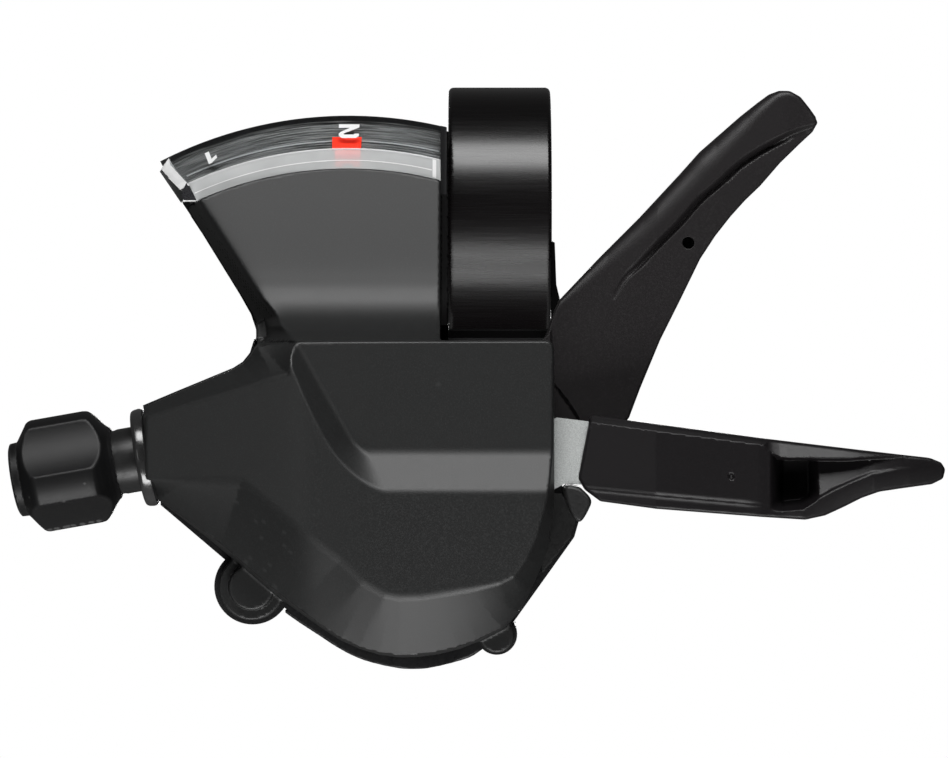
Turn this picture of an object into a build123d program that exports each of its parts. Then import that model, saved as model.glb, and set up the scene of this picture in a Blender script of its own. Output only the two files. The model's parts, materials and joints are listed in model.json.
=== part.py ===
# Left-hand trigger shifter for a flat bicycle handlebar, with a gear window.
# Units: millimetres.  Origin: centre of the handlebar bore.
# +X runs along the bar towards the grip and levers, +Z points from the body
# across the bar, -Y is the side the front cover faces.  "Left" means -X.
# Places are (X, Z) pairs and a name ending in _Y is a Y plane or a
# (front, rear) span, unless a comment says otherwise.
from build123d import *
import math
import os

os.makedirs("parts", exist_ok=True)

# ---------------------------------------------------------- shared dimensions
RUN = 0.04              # radial running clearance
FIT = 0.02              # gap between parts that do not move on each other
WALL = 1.5              # housing wall

Y_FRONT = -33.0         # lower front face of the cover
Y_PANEL = -30.6         # floor of the recessed upper panel
Y_INNER = Y_PANEL + WALL      # inside of the front wall
Y_PART = -19.5          # parting plane between cover and base
Y_BASE = Y_PART + FIT   # front edge of the base
Y_BACK = -5.0           # rear face of the base
Y_BOSS = Y_BACK - 1     # rear end of the bosses in the base

AXLE = (-9.8, -34.5)    # main axle
AXLE_R = 3.0
PIN_R = 1.0             # pawl, drive and needle pins
SUPPORT_Y = (-11.5, -10.1)    # support plate

BAR_R = 11.2            # clamp bore radius for a 22.2 mm bar
BAND_R = 14.4           # clamp band outside radius
BAND_W = 11.8           # clamp band width along the bar
CLAMP_BOLT = (0, -18.9)
BRACKET_SCREW = (0, -26.4)

SCREW_LEFT = (-27.8, -42.9)
SCREW_LOW = (-0.4, -48.3)
SCREW_TOP = (-30.6, -21.7)
SCREW_TIP_Y = {SCREW_LEFT: -21.1, SCREW_LOW: -20.4, SCREW_TOP: -21.1}

NEEDLE = (-17.2, -36.7)       # needle pivot and dial centre
R_BAND_LOW = 39.9             # lens: lower edge of the front band
R_BAND_TOP = 43.4             # lens: corner between front band and cone
R_CONE = 47.06                # lens: rear outer edge
LENS_LEFT, LENS_RIGHT = -27.2, 16.5   # degrees from +Z, positive to +X

CABLE_Y = -17.0
SOCKET = (-39.73, CABLE_Y, -28.45)    # (X, Y, Z) mouth of the adjuster socket
SOCKET_TILT = math.radians(10.0)      # below -X
SOCKET_R = 4.45
# local x is +Y and local z points out of the body along the adjuster
SOCKET_PLANE = Plane(origin=SOCKET, x_dir=(0, 1, 0),
                     z_dir=(-math.cos(SOCKET_TILT), 0.0, -math.sin(SOCKET_TILT)))


# -------------------------------------------------------------------- helpers
def face_at(points, y):
    return make_face(Polyline(*[(x, y, z) for x, z in points], close=True))


def prism(points, y0, y1):
    return extrude(face_at(points, y0), amount=y1 - y0, dir=(0, 1, 0))


def prism_z(points, z0, height):
    """Prism along Z on an outline of (X, Y) points."""
    outline = Polyline(*[(x, y, z0) for x, y in points], close=True)
    return extrude(make_face(outline), amount=height, dir=(0, 0, 1))


def frustum(points0, y0, points1, y1):
    return loft([face_at(points0, y0), face_at(points1, y1)], ruled=True)


def cyl_y(at, radius, y0, y1):
    return Pos(at[0], (y0 + y1) / 2, at[1]) * Rot(90, 0, 0) * Cylinder(radius, y1 - y0)


def through(at, radius):
    """Cylinder long enough to pass through any piece in front of the bar centre."""
    return cyl_y(at, radius, -40, 0)


def tube_y(at, radius, bore, y0, y1):
    return cyl_y(at, radius, y0, y1) - cyl_y(at, bore, y0 - 1, y1 + 1)


def hex_y(at, across_flats, y0, y1):
    hexagon = RegularPolygon(across_flats / 2, 6, major_radius=False)
    return Pos(at[0], y1, at[1]) * Rot(90, 0, 0) * extrude(hexagon, amount=y1 - y0)


def box_y(at, width, height, y0, y1):
    """Box centred at (X, Z); width is along X and height along Z."""
    return Pos(at[0], (y0 + y1) / 2, at[1]) * Box(width, y1 - y0, height)


def cyl_x(radius, length):
    """Cylinder on the handlebar axis."""
    return Rot(0, 90, 0) * Cylinder(radius, length)


def socket_cyl(radius, start, end):
    """Cylinder on the adjuster axis, distances measured out from the socket mouth."""
    return SOCKET_PLANE * Pos(0, 0, (start + end) / 2) * Cylinder(radius, end - start)


def coil(height, radius, wire_r, turns):
    path = Helix(pitch=height / turns, height=height, radius=radius)
    wire = Plane(origin=path @ 0, z_dir=path % 0) * Circle(wire_r)
    return sweep(wire, path=path)


def axle_coil(radius, wire_r, y0, y1, turns):
    spring = coil((y1 - y0) - 2 * wire_r, radius, wire_r, turns)
    return Pos(AXLE[0], y0 + wire_r, AXLE[1]) * Rot(-90, 0, 0) * spring


def dial_sweep(profile, start, end):
    """Revolve (radius, Y) points about the needle axis, between degrees from +Z."""
    face = make_face(Polyline(*[(NEEDLE[0], y, NEEDLE[1] + r) for r, y in profile],
                              close=True))
    axis = Axis((NEEDLE[0], 0, NEEDLE[1]), (0, 1, 0))
    return revolve(face.rotate(axis, start), axis=axis, revolution_arc=end - start)


def around_axle(radius, degrees):
    """Point about the main axle; the angle runs from +X towards +Z."""
    angle = math.radians(degrees)
    return (AXLE[0] + radius * math.cos(angle), AXLE[1] + radius * math.sin(angle))


def largest(shape):
    return sorted(shape.solids(), key=lambda solid: solid.volume)[-1]


def soften(shape, operation, edges, size):
    """Chamfer or fillet edges of shape."""
    # Guards against the kernel refusing these edges: the shape then stays sharp.
    try:
        return operation(edges, size)
    except Exception:
        return shape


STANDOFFS = [around_axle(10.6, 40), around_axle(10.6, 300), around_axle(12.5, 185)]
PAWL_PIN = around_axle(13.8, 204)
DRIVE_PIN = around_axle(12.4, 140)

# ---------------------------------------------------------------- front cover
# (X, Z) outlines at the parting plane and at the front, point for point
COVER_REAR = [(-39.8, -22.9), (-29.0, -18.2), (-27.3, -15.5), (6.0, -15.3),
              (6.1, -33.0), (5.3, -39.5), (1.6, -46.2), (-5.6, -50.1),
              (-10.1, -50.7), (-17.0, -49.2), (-25.0, -43.8), (-33.0, -37.4),
              (-38.4, -33.0)]
COVER_FRONT = [(-39.0, -24.2), (-23.3, -19.1), (-22.3, -15.8), (5.3, -15.8),
               (5.2, -32.0), (4.0, -36.6), (1.5, -41.4), (-5.6, -43.0),
               (-10.5, -43.5), (-15.2, -41.8), (-21.9, -36.1), (-28.5, -30.7),
               (-37.6, -30.8)]
# cavity, in the same way
CAVITY_REAR = [(-38.2, -24.0), (-28.0, -19.8), (-26.2, -16.9), (4.6, -16.8),
               (4.7, -32.8), (3.9, -39.0), (0.5, -45.2), (-6.0, -48.6),
               (-10.2, -49.2), (-16.4, -47.8), (-24.0, -42.6), (-32.2, -36.2),
               (-37.0, -32.0)]
CAVITY_FRONT = [(-34.6, -24.6), (-24.4, -21.0), (-22.0, -17.4), (4.2, -17.4),
                (4.1, -32.2), (3.2, -37.2), (0.4, -42.2), (-5.8, -45.0),
                (-10.5, -45.6), (-15.6, -43.8), (-22.6, -38.0), (-29.4, -32.6),
                (-34.4, -31.6)]
# (X, Z) outlines of the recessed panel at the front face and at its floor
PANEL_OUT = [(-26.2, -14.0), (-23.32, -19.11), (-20.49, -23.79),
             (-16.67, -29.02), (-15.37, -30.87), (-14.28, -31.63),
             (-12.64, -31.96), (9.0, -31.96), (9.0, -14.0)]
PANEL_IN = [(-23.3, -14.0), (-21.78, -16.69), (-19.81, -20.2),
            (-17.62, -24.25), (-16.53, -26.11), (-15.21, -27.21),
            (-12.7, -27.64), (9.0, -27.64), (9.0, -14.0)]
PANEL_OVERRUN = 0.2     # part of the panel depth by which its cut passes the face
# (X, Z) pocket that thins the lower wall behind the front face
LOWER_POCKET = [(-14.5, -33.6), (3.2, -33.6), (2.6, -36.4), (0.4, -40.2),
                (-5.6, -41.4), (-10.4, -41.8), (-14.2, -40.2), (-17.0, -37.6)]
# (X, Z) outlines of the gear fan and of its hollow
FAN = [(-27.5, -17.5), (-27.5, -14.6), (-28.3, -12.3), (-29.6, -10.0),
       (-33.8, -3.2), (-36.3, 0.6), (-38.6, 3.9), (-38.6, 12.0),
       (-6.7, 12.0), (-6.7, -17.5)]
FAN_HOLLOW = [(-26.3, -18.5), (-26.5, -14.4), (-27.4, -11.9), (-28.7, -9.6),
              (-32.9, -2.8), (-35.2, 0.8), (-37.6, 4.6), (-37.6, 12.5),
              (-7.7, 12.5), (-7.7, -18.5)]
# (Y, Z) section of the fan face through its concave sweep, above its foot
FAN_FOOT_Y = -30.6
FAN_FACE = [(-30.6, -15.4), (-28.2, -14.7), (-26.2, -13.9),
            (-24.6, -12.8), (-23.3, -11.4), (-22.4, -9.8), (-21.8, -8.0),
            (-18.3, 4.0)]
FAN_TOP = (-18.3, 12.0)       # (Y, Z)
SLOPE_X = (-45.0, -22.0)      # left part of the front face, which slopes back
SLOPE_RISE = 0.43             # Y per unit of X


def fan_block(shift, drop, foot_z, rear_y):
    """Block behind the fan face, with the face moved back by shift and down by drop."""
    section = [(FAN_FOOT_Y + shift, foot_z)]
    section += [(y + shift, z - drop) for y, z in FAN_FACE]
    section += [(FAN_TOP[0] + shift, FAN_TOP[1]), (rear_y, FAN_TOP[1]), (rear_y, foot_z)]
    face = make_face(Polyline(*[(-60, y, z) for y, z in section], close=True))
    return extrude(face, amount=80, dir=(1, 0, 0))


def slope_block(shift):
    """Space in front of the sloping left face, moved back by shift."""
    left, right = SLOPE_X
    points = [(right, -40.0), (right, Y_FRONT),
              (left, Y_FRONT + (right - left) * SLOPE_RISE), (left, -40.0)]
    return prism_z([(x, y + shift) for x, y in points], -60, 60)


def front_cover():
    # the panel cut keeps its slope past the front face
    panel_start = [(xo + (xo - xi) * PANEL_OVERRUN, zo + (zo - zi) * PANEL_OVERRUN)
                   for (xo, zo), (xi, zi) in zip(PANEL_OUT, PANEL_IN)]
    panel_cut = frustum(panel_start, Y_FRONT - (Y_PANEL - Y_FRONT) * PANEL_OVERRUN,
                        PANEL_IN, Y_PANEL)
    body = frustum(COVER_REAR, Y_PART, COVER_FRONT, Y_FRONT)
    body = body - slope_block(0) - panel_cut
    fan = prism(FAN, -34, -13.5) & fan_block(0, 0, -17.4, -13.5)
    fan = fan & through(NEEDLE, R_BAND_LOW - 0.05)
    cover = largest(body + fan)
    # nothing of the lower fan reaches behind the parting plane
    cover = cover - box_y((-15, -20.0), 60, 10.06, Y_PART, -9.5)

    # stepped boss at the left screw, and the lug on the lower edge
    cover = cover + cyl_y(SCREW_LEFT, 3.7, -20.8, Y_PART)
    cover = cover + cyl_y(SCREW_LEFT, 2.5, -22.0, -20.8)
    cover = largest(cover + cyl_y(SCREW_LOW, 2.0, -21.0, Y_PART))

    cavity = frustum(CAVITY_REAR, Y_BASE, CAVITY_FRONT, Y_INNER)
    cover = cover - (cavity - slope_block(WALL))
    cover = cover - prism(LOWER_POCKET, -31.4, Y_INNER + 0.1)

    # hollow of the fan, open to the body below and to the lens above
    hollow = prism(FAN_HOLLOW, -34, -10) & fan_block(1.0, 0.3, -18.4, -10)
    hollow = hollow & prism([(-40, -19.0), (-40, 12.5), (0, 12.5), (0, -19.0)],
                            Y_INNER - 0.1, -9)
    cover = cover - hollow

    # lever mouth on the grip side
    mouth = box_y((7.0, -24.0), 7.4, 26.0, Y_INNER, -20.2)
    mouth_top = box_y((4.6, -15.0), 11.4, 6.0, Y_INNER, -25.9)
    cover = cover - mouth - mouth_top
    cover = largest(cover - socket_cyl(SOCKET_R, -12, 3))

    # screw bores, after the bosses that stand in the cavity
    for screw, boss_y in ((SCREW_LEFT, None), (SCREW_LOW, -21.0), (SCREW_TOP, -25.5)):
        if boss_y is not None:
            cover = cover + cyl_y(screw, 2.0, boss_y, Y_PART)
        cover = cover - cyl_y(screw, 1.03, SCREW_TIP_Y[screw] - 0.2, Y_PART + 1)
    return largest(cover)


# --------------------------------------------------------------- base housing
# (X, Z) outline
BASE = [(-40.1, -22.6), (-36.3, -21.0), (-31.7, -19.1), (-30.0, -18.4), (-28.9, -17.7),
        (-28.1, -16.7), (-27.6, -15.1), (6.35, -15.05),
        (6.35, -30.5), (8.9, -35.3), (8.3, -37.4), (1.5, -46.9), (-2.0, -49.9),
        (-5.6, -51.5), (-7.9, -52.0), (-10.1, -52.1), (-12.4, -51.8), (-14.6, -51.3),
        (-16.4, -50.6), (-18.1, -49.7), (-24.1, -45.4), (-30.1, -40.6), (-38.1, -33.8)]


def base_housing():
    base = prism(BASE, Y_BASE, Y_BACK)
    rear_edges = list(base.faces().sort_by(Axis.Y)[-1].edges())
    base = soften(base, chamfer, rear_edges, 1.4)
    base = base + cyl_y(SCREW_LEFT, 4.3, Y_BASE, Y_BOSS)
    base = base + cyl_y(SCREW_LOW, 2.3, Y_BASE, Y_BOSS)
    front_y = Y_PART - 1
    inside = offset(face_at(BASE, front_y), amount=-WALL, kind=Kind.INTERSECTION).faces()[0]
    base = base - extrude(inside, amount=Y_BACK - WALL - front_y, dir=(0, 1, 0))
    # mounting block between the body and the clamp band, behind the body
    base = base + box_y((0, -22.4), BAND_W, 14.4, Y_BOSS, 2.0)

    # bosses for the cover screws and standoffs for the support plate
    for screw, radius in ((SCREW_LEFT, 2.6), (SCREW_LOW, 2.3), (SCREW_TOP, 2.2)):
        base = base + cyl_y(screw, radius, Y_BASE, Y_BOSS)
    for standoff in STANDOFFS:
        base = base + cyl_y(standoff, 2.2, SUPPORT_Y[1], Y_BOSS)
    for screw in SCREW_TIP_Y:
        base = base - cyl_y(screw, 1.12, front_y, Y_BACK + 1)
        base = base - cyl_y(screw, 2.05, Y_BACK - 1.4, Y_BACK + 1)
    for standoff in STANDOFFS:
        base = base - cyl_y(standoff, 1.03, SUPPORT_Y[1] - 1, SUPPORT_Y[1] + 3.3)

    # openings: needle, adjuster socket, cable port, lever mouth
    base = base - box_y((-20.6, -16.0), 14.0, 4.4, front_y, -12.1)
    base = base - socket_cyl(SOCKET_R, -12, 4)
    base = base - socket_cyl(2.3, -50.5, -40.5)
    base = base - box_y((6.5, -24.6), 3.2, 16.8, front_y, -19.3)

    # clamp bolt relief, bracket screw bore and room for the clamp band
    base = base - cyl_y(CLAMP_BOLT, 2.7, -3.4, 4)
    base = base - cyl_y(BRACKET_SCREW, 1.62, -3.2, 4)
    return largest(base - cyl_x(BAND_R + 0.08, 40))


# ---------------------------------------------------- clamp band and fasteners
FRONT_EAR_Y = (2.05, 5.6)
REAR_EAR_Y = (7.6, 11.2)
REAR_EAR_Z = -16.6
CLAMP_BOLT_R = 2.5
BRACKET_SCREW_R = 1.6


def clamp_band():
    band = cyl_x(BAND_R, BAND_W)
    band = band + box_y((0, -21.0), BAND_W, 17.2, *FRONT_EAR_Y)
    band = band + box_y((0, REAR_EAR_Z), BAND_W, 12.0, *REAR_EAR_Y)
    band = band - cyl_x(BAR_R, BAND_W + 2)
    band = band - box_y((0, REAR_EAR_Z), BAND_W + 2, 20, FRONT_EAR_Y[1], REAR_EAR_Y[0])
    band = band - cyl_y(CLAMP_BOLT, 2.6, 0, 14)
    band = band - cyl_y(BRACKET_SCREW, 2.05, 0, 7)
    band = band - hex_y(CLAMP_BOLT, 8.1, FRONT_EAR_Y[0] - 0.5, FRONT_EAR_Y[0] + 2.6)
    rims = [edge for edge in band.edges().filter_by(GeomType.CIRCLE)
            if abs(edge.radius - BAND_R) < 1e-3]
    return largest(soften(band, fillet, rims, 0.45))


def clamp_bolt():
    seat = REAR_EAR_Y[1]
    bolt = cyl_y(CLAMP_BOLT, CLAMP_BOLT_R, -2.6, seat)
    bolt = bolt + cyl_y(CLAMP_BOLT, 4.25, seat + FIT, seat + 4.9)
    # joins shank and head across the gap under the head
    bolt = bolt + cyl_y(CLAMP_BOLT, CLAMP_BOLT_R, seat - 0.5, seat + 1)
    bolt = bolt - hex_y(CLAMP_BOLT, 4.0, seat + 2.4, seat + 6)
    rim = bolt.faces().sort_by(Axis.Y)[-1].outer_wire().edges()
    return largest(soften(bolt, chamfer, rim, 0.4))


def clamp_nut():
    nut = hex_y(CLAMP_BOLT, 8.0, FRONT_EAR_Y[0] + 0.05, FRONT_EAR_Y[0] + 2.55)
    return largest(nut - cyl_y(CLAMP_BOLT, CLAMP_BOLT_R + FIT, 0, 8))


def bracket_screw():
    seat = FRONT_EAR_Y[1]
    screw = cyl_y(BRACKET_SCREW, BRACKET_SCREW_R, -3.0, seat)
    screw = screw + cyl_y(BRACKET_SCREW, 3.3, seat + FIT, seat + 1.9)
    screw = screw + cyl_y(BRACKET_SCREW, BRACKET_SCREW_R, seat - 0.5, seat + 0.5)
    return largest(screw - hex_y(BRACKET_SCREW, 2.5, seat + 0.8, seat + 3))


def cover_screws():
    screws = []
    for at, tip_y in SCREW_TIP_Y.items():
        screw = cyl_y(at, 1.0, tip_y, Y_BACK - 0.9)
        screw = screw + cyl_y(at, 1.95, Y_BACK - 1.38, Y_BACK - 0.1)
        # cross recess
        for width, height in ((2.4, 0.5), (0.5, 2.4)):
            screw = screw - box_y(at, width, height, Y_BACK - 0.7, Y_BACK + 0.3)
        screws.append(largest(screw))
    return Compound(children=screws)


# ----------------------------------------------- support plate, axle and pins
def support_plate():
    plate = cyl_y(AXLE, 8.6, *SUPPORT_Y)
    arms = [(PAWL_PIN, 2.0), (NEEDLE, 2.6)] + [(at, 2.6) for at in STANDOFFS]
    for end, radius in arms:
        dx, dz = end[0] - AXLE[0], end[1] - AXLE[1]
        length = math.hypot(dx, dz)
        # half width of the arm, square to its run
        side_x, side_z = -dz / length * radius * 0.95, dx / length * radius * 0.95
        arm = [(AXLE[0] + side_x, AXLE[1] + side_z), (end[0] + side_x, end[1] + side_z),
               (end[0] - side_x, end[1] - side_z), (AXLE[0] - side_x, AXLE[1] - side_z)]
        plate = plate + prism(arm, *SUPPORT_Y) + cyl_y(end, radius, *SUPPORT_Y)
    plate = plate - through(AXLE, AXLE_R + FIT)
    plate = plate - through(PAWL_PIN, PIN_R + FIT) - through(NEEDLE, PIN_R + FIT)
    for at in STANDOFFS:
        plate = plate - through(at, 1.15)
    return largest(plate)


def main_axle():
    axle = cyl_y(AXLE, AXLE_R, -28.4, -6.9) + cyl_y(AXLE, 4.4, -28.75, -28.0)
    return largest(axle - cyl_y(AXLE, 1.2, -29, -28.2))


def axle_washer():
    return largest(tube_y(AXLE, 5.4, AXLE_R + 0.03, -10.05, -9.35))


def axle_nut():
    return largest(hex_y(AXLE, 8.8, -9.3, -6.85) - through(AXLE, AXLE_R + FIT))


def pawl_pin():
    return largest(cyl_y(PAWL_PIN, PIN_R, -21.3, SUPPORT_Y[1]))


def needle_pin():
    return largest(cyl_y(NEEDLE, PIN_R, -13.7, SUPPORT_Y[1])
                   + cyl_y(NEEDLE, 1.5, -13.9, -13.6))


def plate_screws():
    front, rear = SUPPORT_Y
    return Compound(children=[
        largest(cyl_y(at, 1.0, front - 0.4, rear + 3.1)
                + cyl_y(at, 1.9, front - 0.55, front - 0.01))
        for at in STANDOFFS])


# ------------------------------------------------- cable spool and its ratchet
SPOOL_Y = (-19.4, -14.0)
SPOOL_R = 12.2
RATCHET_Y = (-20.9, -19.45)
TEETH = 16
ROOT_R, TIP_R = 9.0, 10.4
# one tooth: radius, degrees from the start of the tooth
TOOTH = [(ROOT_R, 0), (TIP_R, 2), (TIP_R, 6), (ROOT_R, 19)]


def cable_spool():
    spool = cyl_y(AXLE, SPOOL_R, *SPOOL_Y)
    spool = spool - tube_y(AXLE, SPOOL_R + 1, 10.3, CABLE_Y - 0.9, CABLE_Y + 0.9)
    # lightening pockets, the cable-head pocket and the spring seat
    for degrees in (20, 80, 140, 200, 260):
        spool = spool - cyl_y(around_axle(7.4, degrees), 1.7, -15.6, -13)
    spool = spool - cyl_y(around_axle(10.9, 320), 2.1, -18.6, -13)
    spool = spool - tube_y(AXLE, 5.0, 3.9, -14.9, -13)
    return largest(spool - through(AXLE, AXLE_R + RUN))


def ratchet_wheel():
    outline = [around_axle(radius, 360.0 / TEETH * i + degrees)
               for i in range(TEETH) for radius, degrees in TOOTH]
    return largest(prism(outline, *RATCHET_Y) - through(AXLE, AXLE_R + RUN))


def spool_spring():
    return largest(axle_coil(radius=4.3, wire_r=0.3, y0=-13.95, y1=-11.6, turns=2.4))


# ---------------------------------------------------------------- thumb lever
PLATE_Y = (-27.9, -26.5)      # steel plate
PAD_Y = (-30.9, -24.7)        # plastic grip
# (X, Z) outlines of the plate arm, the grip, and the slot in the grip
THUMB_ARM = [(-8.0, -28.4), (-4.0, -28.2), (1.0, -26.0), (6.2, -23.9), (9.5, -24.3),
             (18.0, -26.0), (30.0, -28.4), (30.0, -32.2), (18.0, -31.6),
             (9.2, -31.3), (7.0, -31.2), (3.0, -33.4), (-4.0, -39.2), (-8.0, -40.8)]
PAD = [(9.6, -23.62), (17.02, -24.61), (28.6, -26.16), (39.64, -27.48),
       (48.2, -28.5), (49.0, -29.2), (49.0, -30.0), (48.2, -30.9),
       (44.05, -31.68), (40.74, -32.34), (38.53, -33.33), (35.45, -34.77),
       (33.02, -35.15), (28.6, -34.77), (17.02, -33.88), (10.95, -33.11),
       (9.3, -31.9), (8.5, -30.6)]
PAD_SLOT = [(8.0, -24.0), (9.5, -24.25), (18.0, -25.95), (30.05, -28.35),
            (30.05, -32.25), (18.0, -31.65), (9.2, -31.35), (8.0, -31.3)]
# (radius, degrees) about the axle: plate ear that carries the drive pin, and pawl
DRIVE_EAR = [(6.0, 115), (13.6, 131), (14.4, 140), (13.6, 149), (6.0, 165)]
DRIVE_PAWL = [(14.2, 139), (14.3, 146), (12.6, 152), (10.9, 160),
              (10.7, 157), (11.0, 143), (11.3, 134), (13.4, 133)]


def thumb_lever_plate():
    ear = [around_axle(*point) for point in DRIVE_EAR]
    plate = cyl_y(AXLE, 6.4, *PLATE_Y) + prism(THUMB_ARM, *PLATE_Y) + prism(ear, *PLATE_Y)
    plate = plate - through(AXLE, AXLE_R + RUN)
    return largest(plate - through(DRIVE_PIN, PIN_R + FIT))


def thumb_lever_grip():
    pad = prism(PAD, *PAD_Y)
    faces = pad.faces().sort_by(Axis.Y)
    pad = soften(pad, chamfer, list(faces[0].edges()) + list(faces[-1].edges()), 0.9)
    pad = pad - prism(PAD_SLOT, PLATE_Y[0] - 0.03, PLATE_Y[1] + 0.03)
    # the face falls away towards the cover, so that the grip passes under its edge
    slope = [(16.85, PAD_Y[0]), (8.0, -28.05), (8.0, -34), (16.85, -34)]
    return largest(pad - prism_z(slope, -40, 30))


def drive_pin():
    return largest(cyl_y(DRIVE_PIN, PIN_R, -27.9, -19.7))


def drive_pawl():
    pawl = prism([around_axle(*point) for point in DRIVE_PAWL], -21.1, -19.75)
    pawl = pawl - through(DRIVE_PIN, PIN_R + RUN)
    return largest(pawl + tube_y(DRIVE_PIN, 1.7, PIN_R + RUN, -22.6, -21.05))


def thumb_return_spring():
    return largest(axle_coil(radius=4.6, wire_r=0.32, y0=-26.4, y1=-24.35, turns=2.2))


# -------------------------------------------------------------- trigger lever
TRIGGER_HUB_Y = (-24.2, -22.9)
TRIGGER_RIM_Y = (-24.2, -19.9)
HOLD_PAWL_Y = (-20.85, -19.6)
# (X, Z) outlines; the blade and its raised rim share the edge on the finger side
FINGER_EDGE = [(6.5, -10.9), (11.1, -6.05), (15.56, -1.59), (20.01, 3.2),
               (22.24, 5.7), (26.7, 9.6), (28.93, 11.45), (30.5, 12.4),
               (32.4, 12.35), (33.6, 11.6), (34.8, 10.0), (35.25, 9.0),
               (34.73, 8.0)]
BLADE = FINGER_EDGE + [
    (33.39, 6.6), (31.16, 4.43), (28.93, 1.86), (25.59, -1.59), (23.92, -3.71),
    (22.24, -6.27), (20.01, -10.84), (17.78, -15.3), (15.56, -20.65),
    (14.3, -24.0), (12.8, -25.6), (10.4, -25.7), (6.5, -24.2)]
RIM = FINGER_EDGE + [
    (33.0, 7.6), (30.6, 8.6), (27.6, 6.6), (22.0, 1.6),
    (15.8, -5.2), (9.6, -11.2), (6.5, -14.6)]
TRIGGER_ARM = [(-9.0, -28.0), (-3.6, -26.5), (2.0, -19.4), (3.6, -16.6),
               (6.5, -13.0), (8.0, -12.0), (9.5, -25.6), (6.5, -24.2),
               (1.0, -27.6), (-2.6, -31.0), (-4.0, -37.0)]
BLADE_HOLE = (20.91, -4.49)
# (radius, degrees) about the axle
HOLD_PAWL = [(15.1, 206), (14.0, 219), (12.2, 230), (10.75, 234),
             (10.7, 226), (11.4, 214), (12.2, 203)]


def trigger_lever():
    lever = prism(BLADE, -23.6, -21.4)
    lever = lever + prism(RIM, *TRIGGER_RIM_Y)
    lever = lever + prism(TRIGGER_ARM, *TRIGGER_HUB_Y) + cyl_y(AXLE, 7.0, *TRIGGER_HUB_Y)
    lever = lever - through(AXLE, AXLE_R + RUN)
    lever = largest(lever - through(BLADE_HOLE, 0.65))
    # front edges outside the housing
    edges = [edge for edge in lever.faces().sort_by(Axis.Y)[0].edges()
             if edge.center().X > 7.5]
    return largest(soften(lever, chamfer, edges, 0.5))


def trigger_return_spring():
    return largest(axle_coil(radius=4.6, wire_r=0.3, y0=-22.8, y1=-21.1, turns=2.0))


def holding_pawl():
    pawl = prism([around_axle(*point) for point in HOLD_PAWL], *HOLD_PAWL_Y)
    pawl = pawl + cyl_y(PAWL_PIN, 1.7, *HOLD_PAWL_Y)
    pawl = pawl - through(PAWL_PIN, PIN_R + RUN)
    # clear of the ratchet teeth
    return largest(pawl - through(AXLE, TIP_R + 0.25))


# ----------------------------------------------------------------- lever stop
STOP_Y = (-28.4, -19.55)
# (X, Z) points of a closed smooth curve
STOP = [(6.9, -31.5), (8.5, -31.55), (9.3, -32.1), (10.0, -33.0),
        (9.7, -34.0), (9.0, -35.2), (8.3, -35.3), (7.5, -34.0)]


def lever_stop():
    face = make_face(Spline(*[(x, STOP_Y[0], z) for x, z in STOP], periodic=True))
    return largest(extrude(face, amount=STOP_Y[1] - STOP_Y[0], dir=(0, 1, 0)))


# --------------------------------------------------------------- gear display
# (radius from the needle axis, Y) sections
LENS = [(R_BAND_LOW, -18.3), (R_BAND_TOP, -17.6), (R_CONE, -12.4),
        (R_CONE - 0.9, -12.4), (R_BAND_TOP - 0.66, -16.95),
        (R_BAND_TOP - 0.9, -17.2), (R_BAND_LOW, -17.8)]
LENS_END = LENS[:3] + [(R_BAND_LOW, -13.4)]
DIAL = [(41.85, -16.4), (44.66, -12.42), (44.0, -12.42), (41.45, -16.05)]
DIAL_SHELF = [(40.9, -16.4), (41.9, -16.4), (41.5, -15.9), (40.9, -15.9)]
DIAL_ARC = (LENS_LEFT + 1.4, LENS_RIGHT - 0.2)
NEEDLE_TIP = [(41.9, -17.15), (42.35, -17.15), (44.3, -14.35), (43.98, -14.1),
              (41.9, -16.75)]
# (X, Z) outline of the display back, and its side wall in X
DISPLAY_BACK = [(-27.5, -14.95), (-27.6, -14.4), (-28.3, -12.3), (-29.6, -10.0),
                (-33.8, -3.2), (-36.3, 0.6), (-42.0, 9.0), (-42.0, 14.0),
                (-6.05, 14.0), (-6.05, -14.95)]
SIDE_X = (-6.68, -6.05)
# (X, Z) from the needle pivot
NEEDLE_REAR = [(-1.0, 1.5), (1.0, 1.5), (0.8, 17.2), (-0.8, 17.2)]
NEEDLE_ARM = [(-0.8, 16.4), (0.8, 16.4), (0.45, 22.0), (0.45, 36.0),
              (0.8, 42.2), (-0.8, 42.2), (-0.45, 36.0), (-0.45, 22.0)]
NEEDLE_ARM_Y = (-17.15, -16.75)


def clamp_side_trim(x):
    """Block that squares off the end of the display beside the clamp band."""
    return box_y((x, 5), 10, 40, -25, -5)


def display_lens():
    lens = dial_sweep(LENS, LENS_LEFT, LENS_RIGHT)
    lens = lens + dial_sweep(LENS_END, LENS_LEFT, LENS_LEFT + 1.1)
    return largest(lens - clamp_side_trim(-1.72))


def dial_plate():
    # the shelf runs along the front edge of the dial
    dial = dial_sweep(DIAL, *DIAL_ARC) + dial_sweep(DIAL_SHELF, *DIAL_ARC)
    return largest(dial - clamp_side_trim(-1.75))


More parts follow.
